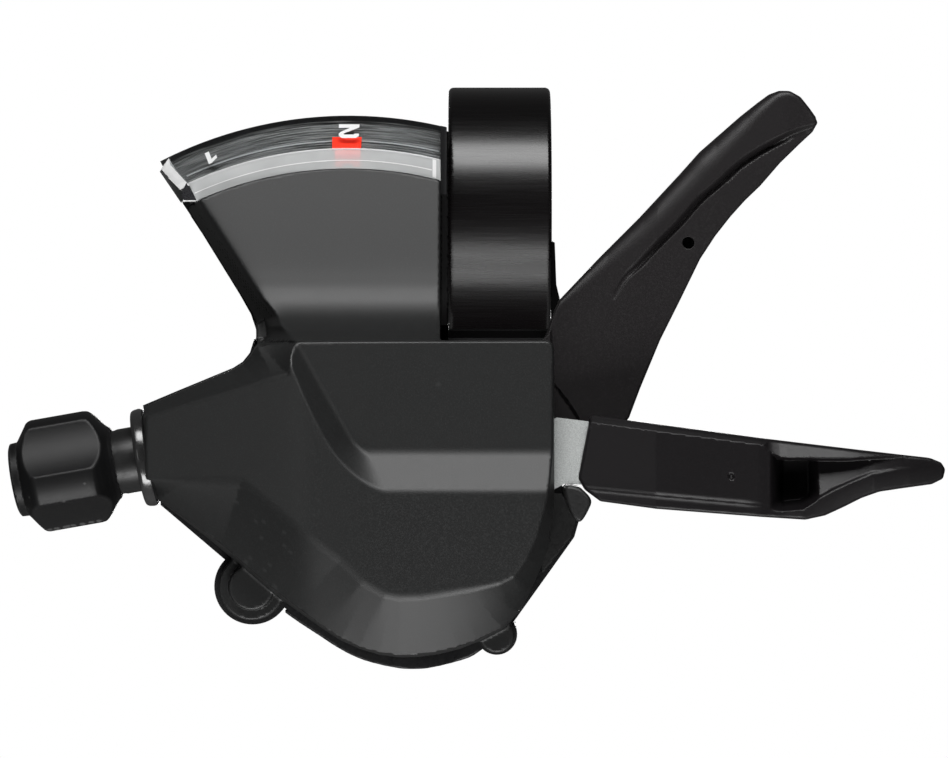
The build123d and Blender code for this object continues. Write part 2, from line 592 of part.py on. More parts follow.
def display_back():
    back = prism(DISPLAY_BACK, -13.4, -12.2) & through(NEEDLE, R_CONE)
    # trimmed at the left end of the lens, and cut clear of the lens
    beyond_lens = [(30.0, -14.0), (50.0, -14.0), (50.0, -11.0), (30.0, -11.0)]
    back = back - dial_sweep(beyond_lens, LENS_LEFT - 12, LENS_LEFT)
    lens_room = [(R_BAND_LOW, -17.0), (R_CONE + 1, -17.0),
                 (R_CONE + 1, -12.38), (R_BAND_LOW, -12.38)]
    back = back - dial_sweep(lens_room, LENS_LEFT - 1, LENS_RIGHT + 0.05)
    # side wall beside the clamp band
    left, right = SIDE_X
    side = prism([(left, -14.9), (right, -14.9), (right, 9.6), (left, 9.6)], -18.0, -12.3)
    return largest(back + (side & through(NEEDLE, R_CONE - 0.3)))


def gear_needle():
    def from_pivot(points):
        return [(NEEDLE[0] + dx, NEEDLE[1] + dz) for dx, dz in points]

    # hub behind the spool, rear arm, riser, arm under the fan face, marker
    hub = tube_y(NEEDLE, 2.0, PIN_R + RUN, -13.4, -12.2)
    rear_arm = prism(from_pivot(NEEDLE_REAR), -13.2, -12.5)
    riser = box_y((NEEDLE[0], NEEDLE[1] + 16.8), 1.6, 0.8, NEEDLE_ARM_Y[0], -12.5)
    arm = prism(from_pivot(NEEDLE_ARM), *NEEDLE_ARM_Y)
    tip = dial_sweep(NEEDLE_TIP, -2.1, 2.1)
    needle = hub + rear_arm + riser + arm + tip
    return largest(needle - through(NEEDLE, PIN_R + RUN))


# ------------------------------------------- cable adjuster and cable port plug
THREAD_R = 3.7
CASING_R = 2.55
KNOB_R = 6.4
KNOB_START, KNOB_END = 3.6, 15.3       # distances out from the socket mouth
FLUTES = (61.0, 151.0, 241.0, 331.0)   # degrees from the top, towards the front
FLUTE_R, FLUTE_OFFSET = 10.5, 15.55
# (radius, distance out) envelope of the knob
KNOB_ENVELOPE = [(0, KNOB_START), (4.6, KNOB_START), (6.6, KNOB_START + 1.8),
                 (6.6, KNOB_END - 2.95), (4.25, KNOB_END - 1.15),
                 (4.15, KNOB_END - 0.2), (3.9, KNOB_END), (0, KNOB_END)]


def adjuster_collar():
    collar = socket_cyl(5.5, -0.1, 0.9) + socket_cyl(4.4, -3.4, 0.0)
    collar = collar - socket_cyl(THREAD_R + RUN, -9, 4)
    rim = collar.faces().sort_by(Axis.X)[0].outer_wire().edges()
    return largest(soften(collar, chamfer, rim, 0.2))


def adjuster_bolt():
    bolt = socket_cyl(THREAD_R, -7.2, 10.4) + socket_cyl(4.6, -7.4, -6.7)
    # cable bore, then the wider casing bore
    bolt = bolt - socket_cyl(1.0, -10, 20)
    return largest(bolt - socket_cyl(CASING_R, 8.0, 20))


def adjuster_spring():
    spring = coil(height=0.8, radius=4.05, wire_r=0.2, turns=2.2)
    return largest(SOCKET_PLANE * Pos(0, 0, -4.65) * spring)


def adjuster_knob():
    """Knob with four lobes and four wide concave flutes."""
    knob = socket_cyl(KNOB_R, KNOB_START, KNOB_END)
    for degrees in FLUTES:
        angle = math.radians(degrees)
        flute = Pos(-FLUTE_OFFSET * math.sin(angle), -FLUTE_OFFSET * math.cos(angle),
                    (KNOB_START + KNOB_END) / 2) * Cylinder(FLUTE_R, 20)
        knob = knob - SOCKET_PLANE * flute
    section = make_face(Polyline(*[(r, 0, out) for r, out in KNOB_ENVELOPE], close=True))
    knob = knob & (SOCKET_PLANE * revolve(section, axis=Axis.Z))
    knob = knob - socket_cyl(THREAD_R + RUN, 0, 10.6)
    return largest(knob - socket_cyl(CASING_R, 0, 20))


def cable_port_plug():
    # lies on the adjuster axis, at the far side of the body
    plug = socket_cyl(2.26, -47.5, -44.1) + socket_cyl(3.0, -48.3, -47.4)
    return largest(plug - SOCKET_PLANE * Pos(0, 0, -48.3) * Box(3.2, 0.6, 0.8))


# --------------------------------------------------------------------- export
# each file takes the name of the function that builds the piece
for build in (front_cover, base_housing,
              clamp_band, clamp_bolt, clamp_nut, bracket_screw, cover_screws,
              support_plate, main_axle, axle_washer, axle_nut,
              pawl_pin, needle_pin, plate_screws,
              cable_spool, ratchet_wheel, spool_spring,
              thumb_lever_plate, thumb_lever_grip, drive_pin, drive_pawl,
              thumb_return_spring,
              trigger_lever, trigger_return_spring, holding_pawl, lever_stop,
              display_lens, dial_plate, display_back, gear_needle,
              adjuster_collar, adjuster_bolt, adjuster_spring, adjuster_knob,
              cable_port_plug):
    export_step(build(), "parts/" + build.__name__ + ".step")
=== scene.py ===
# Thumb shifter for a handlebar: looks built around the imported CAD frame.
# The bar runs along X through the origin, +Z is up and the front faces -Y.
# Left and right are as seen from the front: left is -X. Shapes are worked out in
# millimetres and scaled to metres as the meshes are made. Most are signed distance
# fields, negative inside, of which the zero surface is meshed.
import bpy
import bmesh
import itertools
import json
import math
import numpy as np
from functools import reduce
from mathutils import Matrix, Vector


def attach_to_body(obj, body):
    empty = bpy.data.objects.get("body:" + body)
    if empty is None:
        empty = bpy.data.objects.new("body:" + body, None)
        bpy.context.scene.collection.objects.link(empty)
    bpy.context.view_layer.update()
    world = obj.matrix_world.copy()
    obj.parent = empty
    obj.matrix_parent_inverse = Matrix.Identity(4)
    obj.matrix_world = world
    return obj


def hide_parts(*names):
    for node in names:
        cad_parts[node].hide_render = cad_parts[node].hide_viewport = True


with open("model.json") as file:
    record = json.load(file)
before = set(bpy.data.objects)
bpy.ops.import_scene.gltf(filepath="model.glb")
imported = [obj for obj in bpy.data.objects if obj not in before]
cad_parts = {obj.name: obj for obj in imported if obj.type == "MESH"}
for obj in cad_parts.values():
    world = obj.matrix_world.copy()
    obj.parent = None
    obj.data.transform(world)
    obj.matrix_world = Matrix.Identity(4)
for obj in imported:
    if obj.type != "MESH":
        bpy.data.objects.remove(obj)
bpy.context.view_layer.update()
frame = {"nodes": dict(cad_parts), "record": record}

MM = 0.001

AXLE = (-9.8, -34.5)            # lever axle, x and z; it lies along Y
DIAL = (-17.2, -36.7)           # centre of the gear display, x and z

# cable adjuster: a point on its axis, the outward axis and the one square to it
ADJUSTER_TILT = math.radians(10.0)
ADJUSTER = np.array([-39.73, -17.0, -28.45])
ADJUSTER_OUT = np.array([-math.cos(ADJUSTER_TILT), 0.0, -math.sin(ADJUSTER_TILT)])
ADJUSTER_UP = np.array([-math.sin(ADJUSTER_TILT), 0.0, math.cos(ADJUSTER_TILT)])
FRONTWARD = np.array([0, -1.0, 0])


# =====================================================================
#  distance toolkit
# =====================================================================
def overlap(*shapes):
    return reduce(np.maximum, shapes)


def union(*shapes):
    return reduce(np.minimum, shapes)


def cut(shape, tool):
    return np.maximum(shape, -tool)


def smooth_max(a, b, blend):
    h = np.maximum(blend - np.abs(a - b), 0.0) / blend
    return np.maximum(a, b) + h * h * blend * 0.25


def smooth_min(a, b, blend):
    return -smooth_max(-a, -b, blend)


def rolled(a, b, radius):
    """overlap whose shared edge is rolled by radius"""
    return np.minimum(-radius, np.maximum(a, b)) + np.sqrt(
        np.maximum(a + radius, 0) ** 2 + np.maximum(b + radius, 0) ** 2)


def slab(value, low, high):
    return np.maximum(low - value, value - high)


def circle(x, z, centre, radius):
    return np.sqrt((x - centre[0]) ** 2 + (z - centre[1]) ** 2) - radius


def line(x, z, a, b):
    """distance to the line a-b, positive on the left of a->b"""
    length = math.hypot(b[0] - a[0], b[1] - a[1])
    return ((b[0] - a[0]) * (z - a[1]) - (b[1] - a[1]) * (x - a[0])) / length


def polygon(x, z, corners):
    """distance to a closed outline, negative inside"""
    nearest, sign = np.inf, 1.0
    for i in range(len(corners)):
        (ax, az), (bx, bz) = corners[i], corners[i - 1]
        edge_x, edge_z = bx - ax, bz - az
        to_x, to_z = x - ax, z - az
        along = np.clip((to_x * edge_x + to_z * edge_z)
                        / (edge_x * edge_x + edge_z * edge_z + 1e-12), 0, 1)
        off_x, off_z = to_x - edge_x * along, to_z - edge_z * along
        nearest = np.minimum(nearest, off_x * off_x + off_z * off_z)
        above = z >= az
        below = z < bz
        beside = edge_x * to_z > edge_z * to_x
        crossed = (above & below & beside) | (~above & ~below & ~beside)
        sign = np.where(crossed, -sign, sign)
    return sign * np.sqrt(nearest)


def open_line(x, z, points):
    """distance to an open polyline, positive on its left"""
    nearest, side = np.inf, 1.0
    for (ax, az), (bx, bz) in zip(points, points[1:]):
        edge_x, edge_z = bx - ax, bz - az
        to_x, to_z = x - ax, z - az
        along = (to_x * edge_x + to_z * edge_z) / (edge_x * edge_x + edge_z * edge_z)
        along = np.clip(along, 0, 1)
        off_x, off_z = to_x - edge_x * along, to_z - edge_z * along
        squared = off_x * off_x + off_z * off_z
        closer = squared < nearest
        nearest = np.where(closer, squared, nearest)
        side = np.where(closer, np.where(edge_x * to_z - edge_z * to_x > 0, 1.0, -1.0), side)
    return np.sqrt(nearest) * side


def shrink(corners, inset):
    """outline with its edges moved inward by inset, corners mitred"""
    p = np.array(corners, float)
    area = 0.5 * np.sum(p[:, 0] * np.roll(p[:, 1], -1) - np.roll(p[:, 0], -1) * p[:, 1])
    turn = 1.0 if area > 0 else -1.0
    moved = []
    for i in range(len(p)):
        before, here, after = p[i - 1], p[i], p[(i + 1) % len(p)]
        edge_in = (here - before) / np.linalg.norm(here - before)
        edge_out = (after - here) / np.linalg.norm(after - here)
        normal_in = np.array([-edge_in[1], edge_in[0]]) * turn
        normal_out = np.array([-edge_out[1], edge_out[0]]) * turn
        mitre = max(1.0 + float(normal_in @ normal_out), 0.25)
        moved.append(tuple(here + (normal_in + normal_out) * inset / mitre))
    return moved


def rounded_polygon(x, z, corners, radius):
    """outline with every convex corner rounded"""
    return polygon(x, z, shrink(corners, radius)) - radius


def spline(points, steps, closed=False):
    """Catmull-Rom curve through points, with steps per span"""
    p = [np.array(q, float) for q in points]
    count = len(p)
    curve = []
    for i in range(count if closed else count - 1):
        p0 = p[(i - 1) % count] if closed or i > 0 else p[i]
        p1, p2 = p[i], p[(i + 1) % count]
        p3 = p[(i + 2) % count] if closed or i + 2 < count else p2
        for j in range(steps):
            t = j / steps
            curve.append(tuple(0.5 * ((2 * p1) + (p2 - p0) * t
                         + (2 * p0 - 5 * p1 + 4 * p2 - p3) * t * t
                         + (3 * p1 - p0 - 3 * p2 + p3) * t ** 3)))
    if not closed:
        curve.append(tuple(p[-1]))
    return curve


def mix(a, b, amount):
    return a * (1 - amount) + b * amount


def ease(value):
    value = np.clip(value, 0, 1)
    return value * value * (3 - 2 * value)


def adjuster_coords(x, y, z):
    """radius from the adjuster axis, then distances along it, upward and frontward"""
    along = (x - ADJUSTER[0]) * ADJUSTER_OUT[0] + (z - ADJUSTER[2]) * ADJUSTER_OUT[2]
    up = (x - ADJUSTER[0]) * ADJUSTER_UP[0] + (z - ADJUSTER[2]) * ADJUSTER_UP[2]
    front = -(y - ADJUSTER[1])
    return np.sqrt(up * up + front * front), along, up, front


# =====================================================================
#  meshing
# =====================================================================
def surface(distance, low, high, step):
    """surface nets on the zero set: points, quads and normals"""
    low, high = np.array(low, float), np.array(high, float)
    size = np.ceil((high - low) / step).astype(int) + 1
    axes = [low[i] + step * np.arange(size[i]) for i in range(3)]
    values = np.asarray(distance(*np.ix_(*axes)), float)
    values = np.broadcast_to(values, tuple(size)).astype(np.float32)
    inside = values < 0

    # cells with corners on both sides of the surface
    corners = list(itertools.product((0, 1), repeat=3))
    total = sum(inside[tuple(slice(o, m - 1 + o) for o, m in zip(corner, size))].astype(np.uint8)
                for corner in corners)
    cells = np.argwhere((total > 0) & (total < 8))
    ids = -np.ones(tuple(size - 1), np.int32)
    ids[tuple(cells.T)] = np.arange(len(cells))

    # each cell's point is the mean of its edge crossings
    points = np.zeros((len(cells), 3))
    count = np.zeros(len(cells))
    for corner in corners:
        for axis in range(3):
            if corner[axis] == 1:
                continue
            far = list(corner)
            far[axis] = 1
            start = values[tuple((cells + np.array(corner)).T)]
            end = values[tuple((cells + np.array(far)).T)]
            crossed = (start < 0) != (end < 0)
            along = np.where(crossed, start / np.where(crossed, start - end, 1), 0)
            crossing = (cells + np.array(corner)).astype(float)
            crossing[:, axis] += along
            points += np.where(crossed[:, None], crossing, 0)
            count += crossed
    points = low + points / count[:, None] * step

    # a quad around every grid edge that crosses the surface
    quads = []
    for axis in range(3):
        u, v = (axis + 1) % 3, (axis + 2) % 3
        near_part = [slice(None)] * 3
        far_part = [slice(None)] * 3
        near_part[axis], far_part[axis] = slice(0, -1), slice(1, None)
        near_inside = inside[tuple(near_part)]
        edges = np.argwhere(near_inside != inside[tuple(far_part)])
        edges = edges[(edges[:, u] > 0) & (edges[:, v] > 0)
                      & (edges[:, u] < size[u] - 1) & (edges[:, v] < size[v] - 1)]
        step_u = np.zeros(3, int)
        step_v = np.zeros(3, int)
        step_u[u], step_v[v] = 1, 1
        quad = np.stack([ids[tuple(cell.T)] for cell in
                         (edges - step_u - step_v, edges - step_v, edges, edges - step_u)], 1)
        reverse = ~near_inside[tuple(edges.T)]
        quad[reverse] = quad[reverse][:, ::-1]
        quads.append(quad)
    quads = np.concatenate(quads)
    quads = quads[(quads >= 0).all(1)]

    def at(p):
        return np.asarray(distance(p[:, 0], p[:, 1], p[:, 2]), float)

    def gradient(p, reach):
        slope = np.zeros_like(p)
        for i in range(3):
            offset = np.zeros(3)
            offset[i] = reach
            slope[:, i] = (at(p + offset) - at(p - offset)) / (2 * reach)
        return slope

    # pull the points onto the surface, each pass by less than half a cell
    for _ in range(3):
        slope = gradient(points, 0.03)
        pull = at(points) / np.maximum((slope * slope).sum(1), 0.05)
        move = slope * pull[:, None]
        length = np.linalg.norm(move, axis=1)
        move *= np.minimum(1, 0.45 * step / np.maximum(length, 1e-9))[:, None]
        points = points - move
    slope = gradient(points, 0.02)
    return points, quads, slope / np.maximum(np.linalg.norm(slope, axis=1), 1e-9)[:, None]


def attach(ob, material, body, replaced=None):
    ob.data.materials.append(material)
    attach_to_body(ob, body)
    if replaced:
        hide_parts(replaced)


def linked_object(name, data):
    ob = bpy.data.objects.new(name, data)
    bpy.context.scene.collection.objects.link(ob)
    return ob


def smooth_object(name, points, quads, normals=None):
    mesh = bpy.data.meshes.new(name)
    mesh.vertices.add(len(points))
    mesh.vertices.foreach_set("co", (np.asarray(points) * MM).astype(np.float32).ravel())
    mesh.loops.add(quads.size)
    mesh.loops.foreach_set("vertex_index", quads.astype(np.int32).ravel())
    mesh.polygons.add(len(quads))
    mesh.polygons.foreach_set("loop_start", np.arange(0, quads.size, 4, dtype=np.int32))
    mesh.polygons.foreach_set("loop_total", np.full(len(quads), 4, dtype=np.int32))
    mesh.update(calc_edges=True)
    mesh.validate()
    mesh.polygons.foreach_set("use_smooth", np.ones(len(mesh.polygons), bool))
    # validate may drop elements, and the normals only fit a full set of vertices
    if normals is not None and len(mesh.vertices) == len(normals):
        mesh.normals_split_custom_set_from_vertices([tuple(v) for v in normals])
    return linked_object(name, mesh)


def flat_object(name, points, faces, triangulate=False):
    """flat-shaded mesh with its normals turned outward"""
    mesh = bpy.data.meshes.new(name)
    mesh.from_pydata([tuple(v * MM for v in p) for p in points], [], faces)
    bm = bmesh.new()
    bm.from_mesh(mesh)
    if triangulate:
        bmesh.ops.triangulate(bm, faces=[f for f in bm.faces if len(f.verts) > 4])
    bmesh.ops.recalc_face_normals(bm, faces=bm.faces)
    bm.to_mesh(mesh)
    bm.free()
    return linked_object(name, mesh)


def solid(name, distance, low, high, step, body, material, replaced=None):
    step = step * 1.0
    ob = smooth_object(name, *surface(distance, low, high, step))
    attach(ob, material, body, replaced)


def grid(rows, join_rows=False):
    """points and quads of rows of closed sections"""
    rows = np.asarray(rows, float)
    count, width = rows.shape[:2]
    a, b = np.meshgrid(np.arange(count if join_rows else count - 1), np.arange(width),
                       indexing="ij")
    a2, b2 = (a + 1) % count, (b + 1) % width
    quads = np.stack([a * width + b, a2 * width + b, a2 * width + b2, a * width + b2], -1)
    return rows.reshape(-1, 3), quads.reshape(-1, 4)


def lofted(name, rows):
    """solid through rows of closed sections, capped at both ends"""
    points, quads = grid(rows)
    width = len(rows[0])
    last = (len(rows) - 1) * width
    faces = [list(map(int, quad)) for quad in quads]
    faces.append(list(range(width)))
    faces.append([last + j for j in range(width)][::-1])
    return flat_object(name, points, faces)


def extruded(name, front, back, triangulate=False):
    """solid between two like outlines"""
    n = len(front)
    faces = [list(range(n)), list(range(n, 2 * n))[::-1]]
    faces += [[i, (i + 1) % n, n + (i + 1) % n, n + i] for i in range(n)]
    return flat_object(name, front + back, faces, triangulate)


# =====================================================================
#  shader helpers
# =====================================================================
def feed(tree, target, inputs):
    """set the inputs of a node, or link those given as sockets"""
    for key, value in inputs.items():
        if isinstance(value, bpy.types.NodeSocket):
            tree.links.new(value, target.inputs[key])
        else:
            target.inputs[key].default_value = value


def node(tree, kind, inputs=None, **settings):
    made = tree.nodes.new("ShaderNode" + kind)
    for key, value in settings.items():
        setattr(made, key, value)
    feed(tree, made, inputs or {})
    return made


def empty_tree(owner):
    owner.use_nodes = True
    owner.node_tree.nodes.clear()
    return owner.node_tree


def new_material(name):
    """material with one Principled shader"""
    material = bpy.data.materials.new(name)
    tree = empty_tree(material)
    output = node(tree, "OutputMaterial")
    shader = node(tree, "BsdfPrincipled")
    tree.links.new(shader.outputs[0], output.inputs[0])
    return material, tree, shader


def object_coords(tree):
    return node(tree, "TexCoord").outputs["Object"]


def noise(tree, vector, scale, detail, roughness=0.5):
    return node(tree, "TexNoise", {"Vector": vector, "Scale": scale, "Detail": detail,
                                   "Roughness": roughness}).outputs["Fac"]


def map_range(tree, value, source, target):
    return node(tree, "MapRange", {0: value, 1: source[0], 2: source[1],
                                   3: target[0], 4: target[1]}).outputs[0]


def math_node(tree, operation, a, b, **settings):
    return node(tree, "Math", {0: a, 1: b}, operation=operation, **settings).outputs[0]


def scaled_colour(tree, colour, factor):
    return node(tree, "VectorMath", {0: colour, "Scale": factor}, operation="SCALE").outputs[0]


def bump_normal(tree, height, strength, distance):
    return node(tree, "Bump", {"Strength": strength, "Distance": distance,
                               "Height": height}).outputs[0]


def grey_ramp(tree, value, stops):
    """colour ramp through (position, grey) stops"""
    ramp = node(tree, "ValToRGB", {0: value})
    elements = ramp.color_ramp.elements
    first, *middle, last = stops
    for element, (position, grey) in zip(elements, (first, last)):
        element.position = position
        element.color = (grey, grey, grey, 1)
    for position, grey in middle:
        elements.new(position).color = (grey, grey, grey, 1)
    return ramp.outputs[0]


# =====================================================================
#  materials
# =====================================================================
GRAIN = 6500.0                  # noise scale of the moulded surface
BEVEL_REACH = 0.00035           # metres over which edges look rubbed and carry a painted highlight


def plastic(name, colour, roughness=0.42, bump=0.06, speck=0.25, mottle=0.04, specular=0.5,
            rough_spread=0.12, edge_wear_and_highlight=0.10, painted_glow=None):
    """moulded plastic: fine grain, faint mottling, edges lightened as rubbed wear and as a painted
    highlight, and an optional painted glow given as colour, strength
    """
    material, tree, shader = new_material(name)
    coords = object_coords(tree)
    grain = noise(tree, coords, GRAIN, detail=3.0, roughness=0.6)
    pits = node(tree, "TexVoronoi", {"Vector": coords, "Scale": GRAIN * 1.6})
    flow = noise(tree, coords, 90.0, detail=4.0, roughness=0.55)
    # mottled base with pale specks where the grain peaks
    mottled = map_range(tree, flow, (0.2, 0.8), (1.0 - mottle, 1.0 + mottle))
    specks = map_range(tree, grain, (0.5, 0.78), (1.0, 1.0 + speck))
    shade = math_node(tree, "MULTIPLY", mottled, specks)
    # edges lightened, partly rubbed wear and partly a painted highlight, where the bevelled normal
    # leaves the true one and at sharp points
    bevel = node(tree, "Bevel", {"Radius": BEVEL_REACH}, samples=4)
    geometry = node(tree, "NewGeometry")
    agreement = node(tree, "VectorMath", {0: bevel.outputs[0], 1: geometry.outputs["Normal"]},
                     operation="DOT_PRODUCT")
    bevel_wear_and_highlight = map_range(tree, agreement.outputs["Value"], (0.995, 0.90), (0.0, edge_wear_and_highlight))
    point_wear_and_highlight = map_range(tree, geometry.outputs["Pointiness"], (0.56, 0.66),
                           (0.0, edge_wear_and_highlight * 2.0))
    wear_and_highlight = math_node(tree, "ADD", bevel_wear_and_highlight, point_wear_and_highlight, use_clamp=True)
    base = scaled_colour(tree, colour, shade)
    worn_and_highlight_colour = tuple(c * 2.2 + 0.05 for c in colour) + (1,)
    mixed = node(tree, "Mix", {0: wear_and_highlight, 6: base, 7: worn_and_highlight_colour}, data_type="RGBA")
    rough = map_range(tree, grain, (0.3, 0.7),
                      (roughness - rough_spread, roughness + rough_spread))
    height = math_node(tree, "ADD", grain, pits.outputs["Distance"])
    feed(tree, shader, {"Base Color": mixed.outputs[2], "Roughness": rough,
                        "Specular IOR Level": specular,
                        "Normal": bump_normal(tree, height, bump, 0.09 / GRAIN)})
    # painted glow: emission that brightens the part without any lamp
    if painted_glow:
        feed(tree, shader, {"Emission Color": painted_glow[0], "Emission Strength": painted_glow[1]})
    return material


def metal(name, colour, roughness=0.35, scale=6500.0, bump=0.05, metallic=1.0, mottle=0.15,
          specular=0.5, brush=(1, 1, 1), sheen=0.06):
    """plated or coated metal: blast or brush marks (brush stretches them), uneven sheen"""
    material, tree, shader = new_material(name)
    stretched = node(tree, "VectorMath", {0: object_coords(tree), 1: brush},
                     operation="MULTIPLY").outputs[0]
    marks = noise(tree, stretched, scale, detail=4.0, roughness=0.65)
    cloud = noise(tree, stretched, scale * 0.6, detail=3.0)
    shade = map_range(tree, marks, (0.3, 0.7), (1.0 - mottle, 1.0 + mottle))
    rough = map_range(tree, cloud, (0.3, 0.7), (max(roughness - sheen, 0.03), roughness + sheen))
    feed(tree, shader, {"Base Color": scaled_colour(tree, colour, shade), "Roughness": rough,
                        "Metallic": metallic, "Specular IOR Level": specular,
                        "Normal": bump_normal(tree, marks, bump, 0.03 / scale)})
    return material


def clear_plastic(name, tint, roughness, gloss=1.0, frost_and_light=0.0, frost_and_light_colour=(0.8, 0.8, 0.8)):
    """clear acrylic under a coat of reflection; frost mixes in an opaque pale body, which also
    paints the light shining through the lens
    """
    index = 1.47
    material = bpy.data.materials.new(name)
    tree = empty_tree(material)
    output = node(tree, "OutputMaterial")
    clear = node(tree, "BsdfTransparent", {0: (*tint, 1)})
    cloud = noise(tree, object_coords(tree), 300.0, detail=3.0)
    shade = map_range(tree, cloud, (0.3, 0.7), (0.94, 1.06))
    # pale opaque body: frosting, and painted light for what shines through the lens
    body = node(tree, "BsdfPrincipled", {"Roughness": 0.5, "Base Color": (*frost_and_light_colour, 1)})
    feed(tree, body, {"Base Color": scaled_colour(tree, frost_and_light_colour, shade)})
    wall = node(tree, "MixShader", {0: frost_and_light, 1: clear.outputs[0], 2: body.outputs[0]})
    coat = node(tree, "BsdfGlossy", {"Roughness": roughness,
                                     "Normal": bump_normal(tree, cloud, 0.05, 0.0001)})
    # reflection grows towards grazing, alike from both sides of the wall
    facing = node(tree, "LayerWeight").outputs["Facing"]
    grazing = math_node(tree, "POWER", facing, 4.0)
    reflection = node(tree, "Math", {0: grazing, 1: 0.7 * gloss,
                                     2: ((index - 1) / (index + 1)) ** 2 * gloss},
                      operation="MULTIPLY_ADD", use_clamp=True)
    coated = node(tree, "MixShader", {0: reflection.outputs[0], 1: wall.outputs[0],
                                      2: coat.outputs[0]})
    tree.links.new(coated.outputs[0], output.inputs[0])
    return material


def ringed_plastic(name):
    """fine pale concentric lines about the dial centre, broken up along the arc: painted glints of
    the lens ribs
    """
    lines_per_metre, breaks_per_radian = 5200.0, 7.0
    material, tree, shader = new_material(name)
    offset = node(tree, "VectorMath", {0: object_coords(tree), 1: (DIAL[0] * MM, 0, DIAL[1] * MM)},
                  operation="SUBTRACT")
    parts = node(tree, "SeparateXYZ", {0: offset.outputs[0]})
    across, up = parts.outputs["X"], parts.outputs["Z"]
    flat = node(tree, "CombineXYZ", {"X": across, "Z": up})
    radius = node(tree, "VectorMath", {0: flat.outputs[0]}, operation="LENGTH")
    angle = math_node(tree, "ARCTAN2", across, up)
    polar = node(tree, "CombineXYZ", {
        "X": math_node(tree, "MULTIPLY", radius.outputs["Value"], lines_per_metre),
        "Y": math_node(tree, "MULTIPLY", angle, breaks_per_radian)})
    rings = noise(tree, polar.outputs[0], 1.0, detail=3.0, roughness=0.6)
    # pale rings in the colour are painted highlights; the bump from the same rings stays relief
    feed(tree, shader, {"Base Color": grey_ramp(tree, rings, [(0.42, 0.010), (0.72, 0.22)]),
                        "Roughness": 0.35,
                        "Normal": bump_normal(tree, rings, 0.25, 0.00003)})
    return material


MAT = {
    "cover": plastic("m_cover", (0.0088, 0.0091, 0.0091), roughness=0.46, speck=1.2, bump=0.10,
                     rough_spread=0.05, specular=0.46),
    "base": plastic("m_base", (0.005, 0.005, 0.0055), roughness=0.38, speck=0.3, bump=0.05,
                    specular=0.35),
    "grip": plastic("m_grip", (0.0052, 0.0044, 0.0050), speck=0.6, specular=0.30,
                    rough_spread=0.05),
    "trigger": plastic("m_trigger", (0.0098, 0.0086, 0.0091), roughness=0.43, speck=0.6,
                       specular=0.34, rough_spread=0.05),
    # strong edge term: the knob's ridges carry a painted highlight as well as wear
    "knob": plastic("m_knob", (0.0042, 0.0042, 0.0044), roughness=0.44, speck=0.4, bump=0.07,
                    rough_spread=0.05, specular=0.24, edge_wear_and_highlight=0.5),
    "stop": plastic("m_stop", (0.006, 0.006, 0.006), roughness=0.5, speck=0.1, bump=0.05),
    "band": metal("m_band", (0.0012, 0.0009, 0.0010), roughness=0.27, metallic=0.0, bump=0.02,
                  specular=0.48, brush=(0.04, 1, 1), sheen=0.02),
    "steel": metal("m_lever_steel", (0.60, 0.62, 0.61), roughness=0.56, bump=0.25, mottle=0.25,
                   scale=8000.0),
    "zinc": metal("m_zinc", (0.55, 0.56, 0.55), roughness=0.33, bump=0.1),
    "black_steel": metal("m_black_steel", (0.05, 0.05, 0.052), bump=0.06),
    "spring": metal("m_spring", (0.5, 0.5, 0.49), roughness=0.22, bump=0.04),
    "barrel": metal("m_barrel", (0.010, 0.010, 0.010), roughness=0.38, metallic=0.0, bump=0.03,
                    specular=0.35),
    "collar": metal("m_collar", (0.02, 0.02, 0.02), roughness=0.20, metallic=0.0, bump=0.02,
                    specular=0.9),
    "nylon": plastic("m_nylon", (0.45, 0.45, 0.42), roughness=0.45, speck=0.05, bump=0.05,
                     edge_wear_and_highlight=0.0),
    # near-black copy of the housing plastic: its darkness is painted shade
    "web": plastic("m_web_painted_shade", (0.0012, 0.0011, 0.0012), roughness=0.6, speck=0.2, bump=0.05,
                   specular=0.05, edge_wear_and_highlight=0.0),
    "lens_clear": clear_plastic("m_lens_clear", (0.96, 0.97, 0.97), roughness=0.10, gloss=0.8),
    # frosted band: its pale body also paints the light that comes through the lens
    "lens_frost_and_light": clear_plastic("m_lens_frost_painted_light", (0.85, 0.86, 0.86), roughness=0.25, frost_and_light=0.66,
                                frost_and_light_colour=(0.56, 0.57, 0.57)),
    # pale end material: painted glow of light through the clear lens, also used for pale lines
    "lens_end": clear_plastic("m_lens_end_painted_glow", (0.9, 0.9, 0.9), roughness=0.15, frost_and_light=0.95,
                              frost_and_light_colour=(0.72, 0.72, 0.72)),
    "white": plastic("m_print_white", (0.80, 0.80, 0.80), roughness=0.5, speck=0.0, bump=0.02,
                     edge_wear_and_highlight=0.0, mottle=0.03),
    "line": plastic("m_print_line", (0.42, 0.42, 0.43), roughness=0.4, speck=0.05, bump=0.02,
                    edge_wear_and_highlight=0.0, mottle=0.05),
    # fluorescent pigment, brightened by a painted glow
    "red": plastic("m_marker_red", (0.95, 0.045, 0.02), roughness=0.35, speck=0.0, bump=0.03,
                   edge_wear_and_highlight=0.0, painted_glow=((1.0, 0.03, 0.012, 1), 0.38)),
    "dial": plastic("m_dial", (0.020, 0.020, 0.022), roughness=0.30, speck=0.03, bump=0.03,
                    edge_wear_and_highlight=0.0),
    "dial_rings": ringed_plastic("m_dial_painted_glints"),
}

